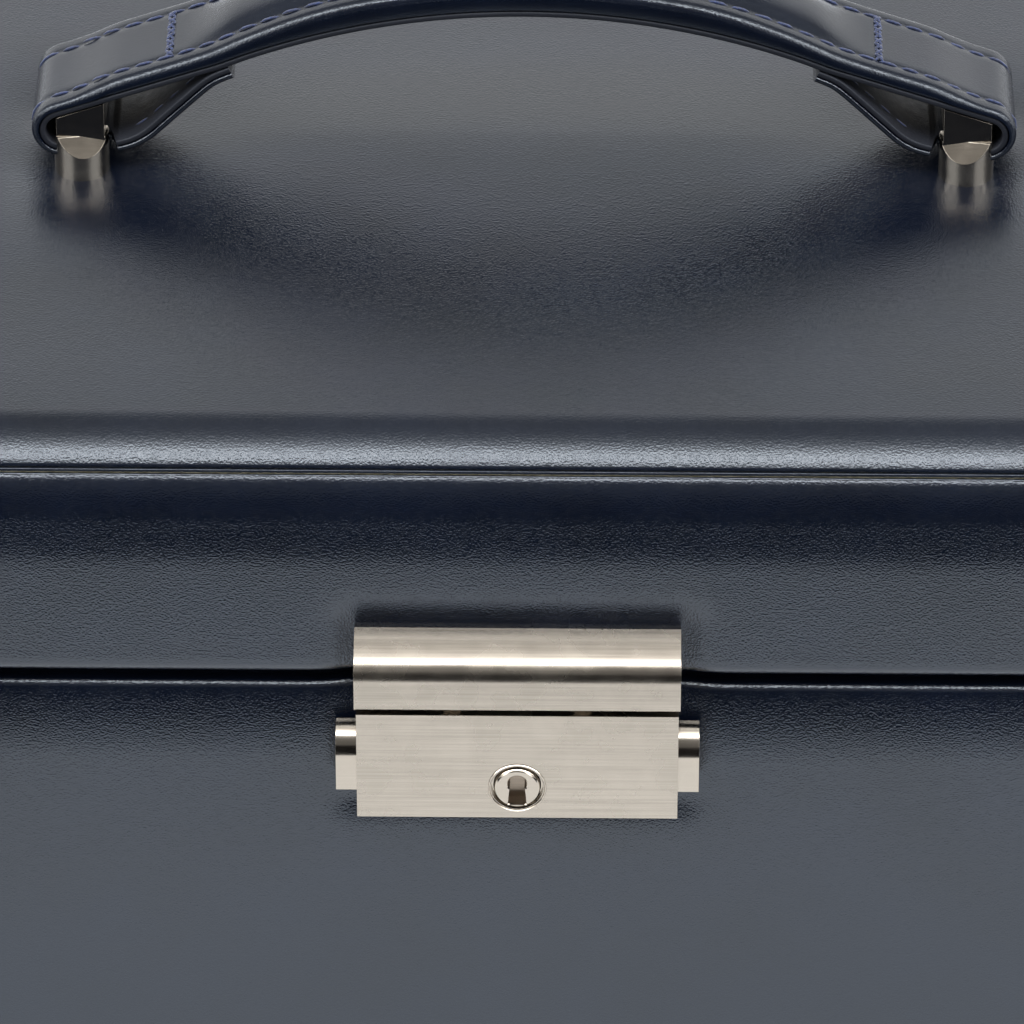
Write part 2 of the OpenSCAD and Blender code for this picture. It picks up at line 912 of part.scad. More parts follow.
// bracket: two feet and a bar whose top follows the slope of the strap
module bracket(side) {
    color(nickel_c)
        translate([side * bracket_span / 2, handle_y, top_z])
            mirror([side > 0 ? 0 : 1, 0, 0])
                union() {
                    for (sy = [0, 1])
                        mirror([0, sy, 0])
                            bracket_foot();
                    difference() {
                        block([-bar_x, -bar_y, bar_z], [bar_x, bar_y, bar_z + 6]);
                        translate([0, 0, bar_top_z])
                            rotate([0, tail_a, 0])
                                translate([-10, -10, 0])
                                    cube([20, 20, 10]);
                    }
                }
}

module bracket_screws() {
    color("silver")
        union() {
            bracket_screw_holes(bracket_screw_r, lid_roof_z, top_z + bracket_screw_z);
            bracket_screw_holes(bracket_head_r, lid_roof_z, lid_roof_z + bracket_head_t);
        }
}

// ---------- assembly ----------

base_felt();
base_floor();
base_front_board();
base_rear_board();
side_board(-1, felt_t, board_top_z);  // base_left_board
side_board(1, felt_t, board_top_z);  // base_right_board
base_leather();
base_lining();
dust_collar();
ring_platform();
for (i = [1 : roll_count])
    ring_roll(i);
long_divider();
front_divider();
rear_divider(-1);  // rear_divider_left
rear_divider(1);  // rear_divider_right
hinge_base_leaf(-1);  // hinge_base_leaf_left
hinge_base_leaf(1);  // hinge_base_leaf_right
hinge_lid_leaf(-1);  // hinge_lid_leaf_left
hinge_lid_leaf(1);  // hinge_lid_leaf_right
hinge_pin(-1);  // hinge_pin_left
hinge_pin(1);  // hinge_pin_right
leaf_screws(base_h + leaf_t, 1);  // hinge_base_screws
leaf_screws(lid_z - leaf_t, -1);  // hinge_lid_screws
lock_body();
lock_housing();
lock_bezel();
lock_cylinder();
lock_cam();
lock_spring();
button(-1);  // button_left
button(1);  // button_right
lock_screws();
hasp_plate();
hasp_screws();
lid_top_board();
lid_front_board();
lid_rear_board();
side_board(-1, lid_board_z, lid_board_top_z);  // lid_left_board
side_board(1, lid_board_z, lid_board_top_z);  // lid_right_board
lid_foam();
lid_side_leather();
lid_top_leather();
lid_lining();
mirror_backing();
mirror_glass();
mirror_frame();
handle_leather();
handle_lining();
handle_padding();
bracket(-1);  // bracket_left
bracket(1);  // bracket_right
bracket_screws();
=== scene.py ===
"""Looks of the leather jewellery case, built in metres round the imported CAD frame."""
import json
import math

import bmesh
import bpy
import numpy as np
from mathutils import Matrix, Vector

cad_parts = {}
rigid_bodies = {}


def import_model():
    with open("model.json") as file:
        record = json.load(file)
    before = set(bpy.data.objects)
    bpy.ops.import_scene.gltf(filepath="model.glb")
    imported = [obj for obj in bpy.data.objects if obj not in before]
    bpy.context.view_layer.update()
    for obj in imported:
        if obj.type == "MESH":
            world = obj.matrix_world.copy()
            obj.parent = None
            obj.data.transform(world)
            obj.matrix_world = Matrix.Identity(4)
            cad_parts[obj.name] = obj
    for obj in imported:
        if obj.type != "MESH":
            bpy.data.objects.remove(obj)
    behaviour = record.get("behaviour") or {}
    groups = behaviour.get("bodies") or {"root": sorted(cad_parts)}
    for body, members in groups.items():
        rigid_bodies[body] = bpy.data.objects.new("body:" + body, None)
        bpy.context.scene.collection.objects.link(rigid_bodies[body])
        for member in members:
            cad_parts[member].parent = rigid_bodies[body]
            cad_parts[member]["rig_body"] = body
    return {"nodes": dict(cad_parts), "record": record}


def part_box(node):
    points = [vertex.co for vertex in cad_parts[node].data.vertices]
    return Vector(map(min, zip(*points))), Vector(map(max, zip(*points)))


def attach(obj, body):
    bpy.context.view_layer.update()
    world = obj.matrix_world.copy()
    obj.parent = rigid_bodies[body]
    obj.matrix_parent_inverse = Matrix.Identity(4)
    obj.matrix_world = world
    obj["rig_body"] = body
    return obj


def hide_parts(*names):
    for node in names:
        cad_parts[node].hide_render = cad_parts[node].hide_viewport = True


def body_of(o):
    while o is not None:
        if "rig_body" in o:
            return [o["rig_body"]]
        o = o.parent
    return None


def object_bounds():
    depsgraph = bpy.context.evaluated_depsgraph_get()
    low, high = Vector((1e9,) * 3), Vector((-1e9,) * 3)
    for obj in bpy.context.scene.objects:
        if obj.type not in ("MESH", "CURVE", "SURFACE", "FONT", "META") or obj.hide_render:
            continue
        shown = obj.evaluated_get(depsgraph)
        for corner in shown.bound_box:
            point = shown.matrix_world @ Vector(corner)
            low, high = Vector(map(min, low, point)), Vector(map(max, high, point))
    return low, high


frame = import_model()
cad_low, cad_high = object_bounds()

MM = 0.001
NODES = frame["nodes"]
SLOTS = {part["node"]: part["material_slot"] for part in frame["record"]["subparts"]}

# ---------------------------------------------------------------- sizes taken from the frame

base_low, base_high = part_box("base_leather")
side_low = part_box("lid_side_leather")[0]
top_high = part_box("lid_top_leather")[1]
hasp_low, hasp_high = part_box("hasp_plate")
lock_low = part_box("lock_body")[0]
right_low, right_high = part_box("bracket_right")
strap_low, strap_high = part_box("handle_leather")
board_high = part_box("lid_front_board")[1]
key_low, key_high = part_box("lock_cylinder")

CASE_X = base_high.x
FRONT_Y = base_low.y
REAR_Y = base_high.y
MID_Y = (FRONT_Y + REAR_Y) / 2
HALF_D = (REAR_Y - FRONT_Y) / 2
RIM_Z = base_high.z
LID_Z = side_low.z
TOP_Z = top_high.z
PAD_R = TOP_Z - board_high.z
WALL_T = board_high.y - FRONT_Y
CORNER_R = 6 * MM
KEY_Z = (key_low.z + key_high.z) / 2
HANDLE_Y = (strap_low.y + strap_high.y) / 2
POST_X = (right_low.x + right_high.x) / 2
POST_R = (right_high.x - right_low.x) / 2
POST_Y = right_high.y - HANDLE_Y - POST_R

# ---------------------------------------------------------------- camera, light and floor

LENS = 275.7
DISTANCE = 0.95
AZIMUTH = 0.7
ELEVATION = 34.5
TARGET = Vector((-0.7 * MM, FRONT_Y, LID_Z + 24.3 * MM))


def look_from(target, distance, azimuth, elevation):
    """Place and direction of a camera that looks at target."""
    a, e = math.radians(azimuth), math.radians(elevation)
    back = Vector((math.sin(a) * math.cos(e), -math.cos(a) * math.cos(e), math.sin(e)))
    return target + back * distance, -back


def make_camera():
    data = bpy.data.cameras.new("camera")
    data.sensor_width = 36
    data.lens = LENS
    data.dof.use_dof = False
    data.clip_end = 50
    place, direction = look_from(TARGET, DISTANCE, AZIMUTH, ELEVATION)
    camera = bpy.data.objects.new("camera", data)
    camera.location = place
    camera.rotation_euler = direction.to_track_quat("-Z", "Y").to_euler()
    bpy.context.scene.collection.objects.link(camera)
    bpy.context.scene.camera = camera


# height over the front horizon in degrees, and brightness there: a dark wall low down, a
# softbox at 63, a dim ceiling overhead and a lit backdrop behind
SKY = [
    (0, 0.05), (12, 0.08), (24, 0.18), (42, 0.24), (51, 0.32), (56, 0.75), (59, 4.0), (63, 13.0),
    (67, 10.5), (73, 4.8), (80, 2.2), (87, 1.15), (95, 0.72), (106, 0.52), (116, 0.42),
    (125, 0.36), (132, 0.42), (140, 0.85), (148, 1.25), (180, 1.30),
]
SKY_TOP = max(level for degrees, level in SKY)

# the two lamps, by the sine of their angle to the side and by the height of their direction,
# and the fill from the sides
LAMP_SIDE, LAMP_SIDE_WIDTH = 0.72, 0.13
LAMP_HEIGHT, LAMP_HEIGHT_WIDTH = 0.45, 0.3
LAMP_LEVEL = 5.0
FILL_LEVEL = 0.4


class World:
    """The studio as a sky: what each direction shows."""

    def __init__(self):
        world = bpy.data.worlds.new("studio")
        bpy.context.scene.world = world
        world.use_nodes = True
        self.tree = world.node_tree
        self.tree.nodes.clear()
        coords = self.tree.nodes.new("ShaderNodeTexCoord")
        split = self.tree.nodes.new("ShaderNodeSeparateXYZ")
        self.tree.links.new(coords.outputs["Generated"], split.inputs[0])
        self.x, self.y, self.z = (split.outputs[axis] for axis in "XYZ")

    def calc(self, kind, *values):
        node = self.tree.nodes.new("ShaderNodeMath")
        node.operation = kind
        for socket, value in zip(node.inputs, values):
            if isinstance(value, (int, float)):
                socket.default_value = value
            else:
                self.tree.links.new(value, socket)
        return node.outputs[0]

    def hump(self, value, middle, width):
        """1 at the middle, falling to 0 on both sides."""
        away = self.calc("DIVIDE", self.calc("SUBTRACT", value, middle), width)
        return self.calc("EXPONENT", self.calc("MULTIPLY", self.calc("MULTIPLY", away, away), -1))

    def bands(self):
        """Brightness by height over the front horizon."""
        angle = self.calc("ARCTAN2", self.z, self.calc("MULTIPLY", self.y, -1))
        ramp = self.tree.nodes.new("ShaderNodeValToRGB")
        ramp.color_ramp.interpolation = "EASE"
        self.tree.links.new(self.calc("DIVIDE", angle, math.pi), ramp.inputs[0])
        stops = ramp.color_ramp.elements
        for degrees, level in SKY:
            if degrees == 0:
                stop = stops[0]
            elif degrees == 180:
                stop = stops[len(stops) - 1]
            else:
                stop = stops.new(degrees / 180)
            stop.color = (level / SKY_TOP,) * 3 + (1,)
        return self.calc("MULTIPLY", ramp.outputs["Color"], SKY_TOP)

    def sides(self):
        """Two lamps half-way to the sides, and some fill from the sides themselves."""
        flat = self.calc("SQRT", self.calc("SUBTRACT", 1.0001, self.calc("MULTIPLY", self.z, self.z)))
        sine = self.calc("DIVIDE", self.calc("ABSOLUTE", self.x), flat)
        front = self.calc("LESS_THAN", self.y, 0)
        lamp = self.calc(
            "MULTIPLY",
            self.hump(sine, LAMP_SIDE, LAMP_SIDE_WIDTH),
            self.hump(self.z, LAMP_HEIGHT, LAMP_HEIGHT_WIDTH),
        )
        fill = self.calc("POWER", self.calc("ABSOLUTE", self.x), 4)
        fill = self.calc("MULTIPLY", fill, FILL_LEVEL)
        lamp = self.calc("MULTIPLY", self.calc("MULTIPLY", lamp, front), LAMP_LEVEL)
        return self.calc("ADD", lamp, fill)

    def finish(self):
        background = self.tree.nodes.new("ShaderNodeBackground")
        output = self.tree.nodes.new("ShaderNodeOutputWorld")
        total = self.calc("ADD", self.bands(), self.sides())
        self.tree.links.new(total, background.inputs["Strength"])
        background.inputs["Color"].default_value = (1, 1, 1, 1)
        self.tree.links.new(background.outputs[0], output.inputs[0])


def stage_sheet(name, points, colour):
    """Flat rectangle of the studio."""
    mesh = bpy.data.meshes.new(name)
    mesh.from_pydata(points, [], [(0, 1, 2, 3)])
    sheet = bpy.data.objects.new(name, mesh)
    bpy.context.scene.collection.objects.link(sheet)
    material = bpy.data.materials.new(name)
    material.use_nodes = True
    shader = material.node_tree.nodes["Principled BSDF"]
    shader.inputs["Base Color"].default_value = (*colour, 1)
    shader.inputs["Roughness"].default_value = 0.9
    shader.inputs["Specular IOR Level"].default_value = 0.1
    mesh.materials.append(material)
    return sheet


FLOOR_REACH = 4.0
FLOOR_GREY = (0.69, 0.71, 0.735)
CARD_AWAY = 0.175
CARD_HALF_W = 1.2
CARD_OVER_RIM = 0.04
CARD_BLACK = (0.005, 0.005, 0.006)


def make_stage():
    """Pale floor, and a low black card in front that only reflections see."""
    z = cad_low.z - 0.05 * MM
    corners = [(-1, -1), (1, -1), (1, 1), (-1, 1)]
    stage_sheet("floor", [(x * FLOOR_REACH, y * FLOOR_REACH, z) for x, y in corners], FLOOR_GREY)
    y = FRONT_Y - CARD_AWAY
    top = LID_Z + CARD_OVER_RIM
    card = stage_sheet(
        "black_card",
        [(-CARD_HALF_W, y, z), (CARD_HALF_W, y, z), (CARD_HALF_W, y, top), (-CARD_HALF_W, y, top)],
        CARD_BLACK,
    )
    card.visible_camera = False
    card.visible_diffuse = False
    card.visible_transmission = False
    card.visible_shadow = False


# ---------------------------------------------------------------- materials
# scales of noise and cells are per metre, and bump distances are in metres


class Paint:
    """A node material in the making: short calls for the nodes that the materials share."""

    def __init__(self, name):
        self.material = bpy.data.materials.new(name)
        self.material.use_nodes = True
        self.tree = self.material.node_tree
        self.shader = self.tree.nodes["Principled BSDF"]
        self.coords = self.tree.nodes.new("ShaderNodeTexCoord").outputs["Object"]

    def set(self, **values):
        for name, value in values.items():
            self.shader.inputs[name.replace("_", " ")].default_value = value

    def link(self, output, socket):
        self.tree.links.new(output, self.shader.inputs[socket])

    def stretched(self, scale):
        node = self.tree.nodes.new("ShaderNodeMapping")
        node.inputs["Scale"].default_value = scale
        self.tree.links.new(self.coords, node.inputs["Vector"])
        return node.outputs["Vector"]

    def noise(self, scale, detail=2.0, rough=0.5, coords=None):
        node = self.tree.nodes.new("ShaderNodeTexNoise")
        node.inputs["Scale"].default_value = scale
        node.inputs["Detail"].default_value = detail
        node.inputs["Roughness"].default_value = rough
        self.tree.links.new(coords or self.coords, node.inputs["Vector"])
        return node.outputs["Fac"]

    def cells(self, scale, coords=None):
        node = self.tree.nodes.new("ShaderNodeTexVoronoi")
        node.feature = "SMOOTH_F1"
        node.inputs["Scale"].default_value = scale
        node.inputs["Smoothness"].default_value = 0.5
        self.tree.links.new(coords or self.coords, node.inputs["Vector"])
        return node.outputs["Distance"]

    def span(self, value, low, high, start=0.0, end=1.0):
        node = self.tree.nodes.new("ShaderNodeMapRange")
        self.tree.links.new(value, node.inputs["Value"])
        for name, number in (
            ("From Min", start), ("From Max", end), ("To Min", low), ("To Max", high)
        ):
            node.inputs[name].default_value = number
        return node.outputs["Result"]

    def colours(self, value, first, second, start=0.3, end=0.7):
        node = self.tree.nodes.new("ShaderNodeValToRGB")
        node.color_ramp.elements[0].position = start
        node.color_ramp.elements[1].position = end
        node.color_ramp.elements[0].color = (*first, 1)
        node.color_ramp.elements[1].color = (*second, 1)
        self.tree.links.new(value, node.inputs[0])
        return node.outputs["Color"]

    def bump(self, height, distance, strength=1.0, under=None):
        node = self.tree.nodes.new("ShaderNodeBump")
        node.inputs["Distance"].default_value = distance
        node.inputs["Strength"].default_value = strength
        self.tree.links.new(height, node.inputs["Height"])
        if under is not None:
            self.tree.links.new(under, node.inputs["Normal"])
        return node.outputs["Normal"]


def leather(name, dark, light, rough=(0.15, 0.24), grain=1.0, gloss=0.80):
    """Smooth calf leather: fine pebble grain, faint waves, and gloss that follows the grain."""
    p = Paint(name)
    p.set(Specular_IOR_Level=gloss, IOR=1.5, Specular_Tint=(0.85, 0.92, 1.0, 1))
    p.link(p.colours(p.noise(55, 4, 0.6), dark, light), "Base Color")
    p.link(p.span(p.noise(900, 3), *rough, 0.3, 0.7), "Roughness")
    waves = p.bump(p.noise(75, 2, 0.5), 0.12 * MM, 0.25 * grain)
    pebbles = p.bump(p.cells(3800), 0.040 * MM, 0.7 * grain, waves)
    p.link(p.bump(p.noise(6500, 1.5, 0.6), 0.026 * MM, 0.8 * grain, pebbles), "Normal")
    return p.material


def brushed(name, tint, rough, streak=1.0):
    """Plated metal brushed from side to side: fine streaks in tone, gloss and relief."""
    p = Paint(name)
    p.set(Metallic=1.0)
    lines = p.noise(1, 3, 0.6, p.stretched((45, 3600, 3600)))
    dark = tuple(c * (1 - 0.2 * streak) for c in tint)
    p.link(p.colours(lines, dark, tint, 0.35, 0.65), "Base Color")
    p.link(p.span(p.noise(260, 3), rough - 0.03, rough + 0.05, 0.3, 0.7), "Roughness")
    p.link(p.bump(lines, 0.003 * MM, 0.5 * streak), "Normal")
    return p.material


def turned(name, tint, rough):
    """Plated metal turned on a lathe: rings round upright parts, so gloss spreads up and down."""
    p = Paint(name)
    p.set(Metallic=1.0, Anisotropic=0.85)
    rings = p.noise(1, 3, 0.6, p.stretched((60, 60, 5200)))
    dark = tuple(c * 0.9 for c in tint)
    p.link(p.colours(rings, dark, tint, 0.35, 0.65), "Base Color")
    p.link(p.span(p.noise(260, 3), rough - 0.03, rough + 0.05, 0.3, 0.7), "Roughness")
    p.link(p.bump(rings, 0.004 * MM, 0.4), "Normal")
    upright = p.tree.nodes.new("ShaderNodeCombineXYZ")
    upright.inputs["Z"].default_value = 1
    p.link(upright.outputs[0], "Tangent")
    return p.material


def velvet(name, deep, pale):
    """Short pile: soft sheen, brushed patches and a fine fuzzy relief."""
    p = Paint(name)
    p.set(Roughness=0.95, Sheen_Weight=0.6, Sheen_Roughness=0.45, Specular_IOR_Level=0.1)
    p.set(Sheen_Tint=(0.75, 0.8, 1.0, 1))
    p.link(p.colours(p.noise(120, 5, 0.65), deep, pale), "Base Color")
    patches = p.bump(p.noise(160, 3), 0.2 * MM, 0.3)
    p.link(p.bump(p.noise(4200, 2), 0.08 * MM, 0.6, patches), "Normal")
    return p.material


def thread(name, deep, pale):
    """Twisted sewing thread, waxed."""
    p = Paint(name)
    p.set(Roughness=0.45, Sheen_Weight=0.3)
    twist = p.noise(3800, 2, 0.6)
    p.link(p.colours(twist, deep, pale, 0.35, 0.65), "Base Color")
    p.link(p.bump(twist, 0.06 * MM, 0.8), "Normal")
    return p.material


def plain_board(name):
    """Planed hardwood with long grain."""
    p = Paint(name)
    p.set(Roughness=0.7)
    grain = p.noise(1, 4, 0.6, p.stretched((12, 320, 320)))
    p.link(p.colours(grain, (0.33, 0.22, 0.12), (0.52, 0.37, 0.22)), "Base Color")
    p.link(p.bump(grain, 0.1 * MM, 0.3), "Normal")
    return p.material


def open_foam(name):
    """Open-cell foam."""
    p = Paint(name)
    p.set(Roughness=0.95)
    pores = p.cells(900)
    p.link(p.colours(pores, (0.42, 0.38, 0.24), (0.62, 0.57, 0.40)), "Base Color")
    p.link(p.bump(pores, 0.5 * MM, 0.6), "Normal")
    return p.material


def mirror_glass(name):
    """Silvered glass with a few faint smears."""
    p = Paint(name)
    p.set(Metallic=1.0)
    smear = p.noise(30, 4, 0.6)
    p.link(p.colours(smear, (0.86, 0.89, 0.90), (0.90, 0.92, 0.93)), "Base Color")
    p.link(p.span(smear, 0.01, 0.05, 0.45, 0.8), "Roughness")
    return p.material


NAVY_DARK = (0.0016, 0.0028, 0.0068)
NAVY_LIGHT = (0.0030, 0.0050, 0.0115)
NICKEL = (0.47, 0.42, 0.355)
NICKEL_DIM = (0.40, 0.36, 0.305)

MATERIALS = {
    "navy_leather": leather("navy_leather", NAVY_DARK, NAVY_LIGHT),
    "strap_leather": leather("strap_leather", NAVY_DARK, NAVY_LIGHT, (0.14, 0.22), 0.8, 0.58),
    "strap_lining": leather(
        "strap_lining", (0.006, 0.007, 0.011), (0.011, 0.012, 0.017), (0.5, 0.6), 1.0, 0.35
    ),
    "nickel": brushed("nickel", NICKEL, 0.25, 0.9),
    "nickel_turned": turned("nickel_turned", NICKEL_DIM, 0.18),
    "nickel_bright": brushed("nickel_bright", NICKEL, 0.15, 0.4),
    # nickel with a darker tint for the brackets' milled flats: painted shade
    "nickel_painted_shade": brushed("nickel_painted_shade", (0.30, 0.265, 0.22), 0.09, 0.5),
    # darker, warmer nickel for the floor of the keyhole: painted shade of the hole
    "keyhole_painted_shade": brushed("keyhole_painted_shade", (0.30, 0.25, 0.20), 0.30, 0.6),
    "hinge_nickel": brushed("hinge_nickel", (0.62, 0.60, 0.56), 0.32),
    "steel": brushed("steel", (0.45, 0.45, 0.46), 0.38),
    "velvet": velvet("velvet", (0.030, 0.035, 0.055), (0.055, 0.062, 0.090)),
    "felt": velvet("felt", (0.012, 0.012, 0.015), (0.025, 0.025, 0.03)),
    "thread": thread("thread", (0.004, 0.009, 0.032), (0.015, 0.032, 0.115)),
    "board": plain_board("board"),
    "foam": open_foam("foam"),
    "mirror": mirror_glass("mirror"),
}

# ---------------------------------------------------------------- mesh helpers


def add_piece(name, verts, faces, material, body, smooth=True, replaces=()):
    """New mesh piece that rides on a body."""
    mesh = bpy.data.meshes.new(name)
    mesh.from_pydata([tuple(v) for v in verts], [], faces)
    mesh.validate()
    work = bmesh.new()
    work.from_mesh(mesh)
    bmesh.ops.recalc_face_normals(work, faces=work.faces)
    work.to_mesh(mesh)
    work.free()
    if smooth:
        mesh.shade_smooth()
    piece = bpy.data.objects.new(name, mesh)
    bpy.context.scene.collection.objects.link(piece)
    mesh.materials.append(MATERIALS[material])
    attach(piece, body)
    if replaces:
        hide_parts(*replaces)
    return piece


def apply_modifiers(piece):
    graph = bpy.context.evaluated_depsgraph_get()
    mesh = bpy.data.meshes.new_from_object(piece.evaluated_get(graph))
    piece.modifiers.clear()
    piece.data = mesh


def eased(node, width, material, segments=3, shape=None):
    """Copy of a CAD node with its sharp edges rounded. It stands for the node."""
    source = NODES[node]
    work = bmesh.new()
    work.from_mesh(source.data)
    bmesh.ops.remove_doubles(work, verts=work.verts, dist=0.002 * MM)
    bmesh.ops.dissolve_limit(
        work, angle_limit=math.radians(0.5), verts=work.verts, edges=work.edges
    )
    if shape:
        shape(work)
    mesh = bpy.data.meshes.new(node + "_eased")
    work.to_mesh(mesh)
    work.free()
    mesh.materials.clear()
    mesh.materials.append(MATERIALS[material])
    piece = bpy.data.objects.new(mesh.name, mesh)
    bpy.context.scene.collection.objects.link(piece)
    bevel = piece.modifiers.new("ease", "BEVEL")
    bevel.width = width
    bevel.segments = segments
    bevel.limit_method = "ANGLE"
    bevel.angle_limit = math.radians(35)
    bevel.use_clamp_overlap = True
    apply_modifiers(piece)
    piece.data.shade_smooth()
    piece.data.set_sharp_from_angle(angle=math.radians(32))
    weights = piece.modifiers.new("weights", "WEIGHTED_NORMAL")
    weights.keep_sharp = True
    apply_modifiers(piece)
    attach(piece, body_of(source)[0])
    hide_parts(node)
    return piece


def ring_faces(faces, rings, count, base=0):
    """Adds the quads between each closed ring of vertices and the next one."""
    for n in range(rings - 1):
        for k in range(count):
            m = (k + 1) % count
            a, b = base + n * count, base + (n + 1) * count
            faces.append((a + k, a + m, b + m, b + k))


def smooth_step(t):
    t = np.clip(t, 0, 1)
    return t * t * (3 - 2 * t)


def spaced(dense, low, high, coarse):
    """Places from low to high: about coarse apart, and finer in each (middle, half, step) stretch."""
    places = [low]
    while places[-1] < high - 1e-9:
        here = places[-1]
        step = coarse
        for middle, half, fine in dense:
            if middle - half - coarse < here < middle + half:
                step = min(step, fine)
        places.append(min(high, here + step))
    return np.array(places)


class Plan:
    """Loops and fillings on the plan of the case: a rectangle with round corners, which is
    inset by some distance. Its points keep their order from loop to loop."""

    ARC = 10

    def __init__(self, xs, ys):
        self.fx = xs / CASE_X
        self.fy = ys / HALF_D

    def loop(self, inset, z, corner):
        x = CASE_X - inset - corner
        y = HALF_D - inset - corner
        points = []

        def arc(sx, sy, start):
            for i in range(1, self.ARC):
                a = math.radians(start + 90 * i / self.ARC)
                points.append((sx * x + corner * math.cos(a), sy * y + corner * math.sin(a)))

        points += [(f * x, -y - corner) for f in self.fx]
        arc(1, -1, -90)
        points += [(x + corner, f * y) for f in self.fy]
        arc(1, 1, 0)
        points += [(-f * x, y + corner) for f in self.fx]
        arc(-1, 1, 90)
        points += [(-x - corner, -f * y) for f in self.fy]
        arc(-1, -1, 180)
        return [(px, MID_Y + py, z) for px, py in points]

    def skin(self, stations):
        """Vertices and faces between loops, one for each (inset, z, corner)."""
        verts, faces = [], []
        for station in stations:
            verts += self.loop(*station)
        count = len(verts) // len(stations)
        ring_faces(faces, len(stations), count)
        return verts, faces, count

    def fill(self, verts, faces, count, inset, z, corner):
        """Closes the last loop: a grid in the middle, strips beside it, fans at the corners."""
        x = CASE_X - inset - corner
        y = HALF_D - inset - corner
        first = len(verts) - count
        nx, ny = len(self.fx), len(self.fy)
        base = len(verts)
        for fy in self.fy:
            verts += [(fx * x, MID_Y + fy * y, z) for fx in self.fx]

        def grid(i, j):
            return base + j * nx + i

        for j in range(ny - 1):
            for i in range(nx - 1):
                faces.append((grid(i, j), grid(i + 1, j), grid(i + 1, j + 1), grid(i, j + 1)))
        sides = [
            [grid(i, 0) for i in range(nx)],
            [grid(nx - 1, j) for j in range(ny)],
            [grid(nx - 1 - i, ny - 1) for i in range(nx)],
            [grid(0, ny - 1 - j) for j in range(ny)],
        ]
        place = first
        for side in sides:
            for k in range(len(side) - 1):
                faces.append((place + k, place + k + 1, side[k + 1], side[k]))
            place += len(side) - 1
            for k in range(self.ARC):
                last = place + k + 1 if place + k + 1 < base else first
                faces.append((place + k, last, side[-1]))
            place += self.ARC


def arc_stations(inset, z, radius, start, end, steps, corner):
    """Loops round a convex edge: at angle 0 the surface is upright, at 90 it faces up."""
    made = []
    for i in range(steps + 1):
        a = math.radians(start + (end - start) * i / steps)
        d = radius * (1 - math.cos(a))
        made.append((inset + d, z + radius * math.sin(a), corner + 0.5 * d))
    return made


# ---------------------------------------------------------------- leather coverings

SEAM_A = 39.5

# padding of the lid's top: how high and how wide it swells, and how the feet draw it down
RIDGE, RIDGE_Y = 1.5 * MM, 24 * MM
RIDGE_END, RIDGE_RAMP = 14 * MM, 30 * MM
DIMPLE, DIMPLE_R = 0.35 * MM, 2.4 * MM
PULL_R = 11 * MM

# swell of the front leather, and where the hasp and the lock hold it down
BULGE, BULGE_RAMP = 0.6 * MM, 60 * MM
FRONT_BAND = 2.2 * MM
HASP_EDGE = 7.4 * MM
HELD_R = 3.0 * MM
FADE_START, FADE = 6 * MM, 9 * MM

# lean of the walls: of the lid below its shoulder, and of the base below its rim
BOW, BOW_H = 0.10 * MM, 10 * MM
RIM_LEAN, RIM_LEAN_H = 1.35 * MM, 11 * MM
WALL_BAND = 2 * MM

LID_EDGE_R = 1.9 * MM
RIM_R = 1.0 * MM
FOOT_R = 1.4 * MM
BEVEL_A = math.radians(30)
BEVEL_Y = REAR_Y - 5.8 * MM
STRIP_T = 0.3 * MM

COARSE, FINE, MIDDLE = 3 * MM, 0.8 * MM, 1.0 * MM


def mirrored(places):
    """The same places, made exactly alike on both sides of 0."""
    return (places - places[::-1]) / 2


PLAN = Plan(
    mirrored(spaced(
        [(-POST_X, 12 * MM, FINE), (POST_X, 12 * MM, FINE), (0, 26 * MM, MIDDLE)],
        -CASE_X, CASE_X, COARSE,
    )),
    mirrored(spaced([(0, 16 * MM, FINE)], -HALF_D, HALF_D, COARSE)),
)


def dimples(verts):
    """Padded top: it swells under the handle, and is drawn down round the four feet."""
    co = np.array(verts, float)
    flat = smooth_step((co[:, 2] - TOP_Z + 0.4 * MM) / (0.4 * MM))
    off = np.abs(co[:, 1] - HANDLE_Y) / RIDGE_Y
    ends = smooth_step((CASE_X - RIDGE_END - np.abs(co[:, 0])) / RIDGE_RAMP)
    lift = RIDGE * np.exp(-(off ** 1.6)) * ends
    for sx in (-1, 1):
        for sy in (-1, 1):
            r = np.hypot(co[:, 0] - sx * POST_X, co[:, 1] - HANDLE_Y - sy * POST_Y)
            away = np.maximum(0, r - POST_R)
            lift *= 1 - np.exp(-(away / PULL_R) ** 1.5)
            lift -= DIMPLE * np.exp(-(away / DIMPLE_R) ** 1.5)
    co[:, 2] += flat * lift
    return co


def hasp_dent(co):
    """Puffy front: the leather swells a little and is held down round the lock's plates."""
    front = co[:, 1] < FRONT_Y + FRONT_BAND
    half = (hasp_high.x - hasp_low.x) / 2
    top = LID_Z + HASP_EDGE
    dx = np.maximum(0, np.abs(co[:, 0]) - half)
    dz = np.maximum(0, np.maximum(co[:, 2] - top, lock_low.z - co[:, 2]))
    away = np.hypot(dx, dz)
    held = np.exp(-(away / HELD_R) ** 2)
    spread = smooth_step((CASE_X - np.abs(co[:, 0])) / BULGE_RAMP)
    fade = 1 - smooth_step((co[:, 2] - (TOP_Z - PAD_R - FADE_START)) / FADE)
    co[:, 1] -= np.where(front, BULGE * spread * fade * (1 - held), 0)
    return co


def bowed(co, end_z):
    """Walls that lean in a little below end_z."""
    return leant(co, BOW * smooth_step((co[:, 2] - end_z + BOW_H) / BOW_H) ** 1.5)


def leant(co, lean):
    """Moves the walls inwards by lean."""
    side = np.abs(co[:, 0]) > CASE_X - WALL_BAND
    end = np.abs(co[:, 1] - MID_Y) > HALF_D - WALL_BAND
    co[:, 0] -= np.where(side, np.sign(co[:, 0]) * lean, 0)
    co[:, 1] -= np.where(end, np.sign(co[:, 1] - MID_Y) * lean, 0)
    return co


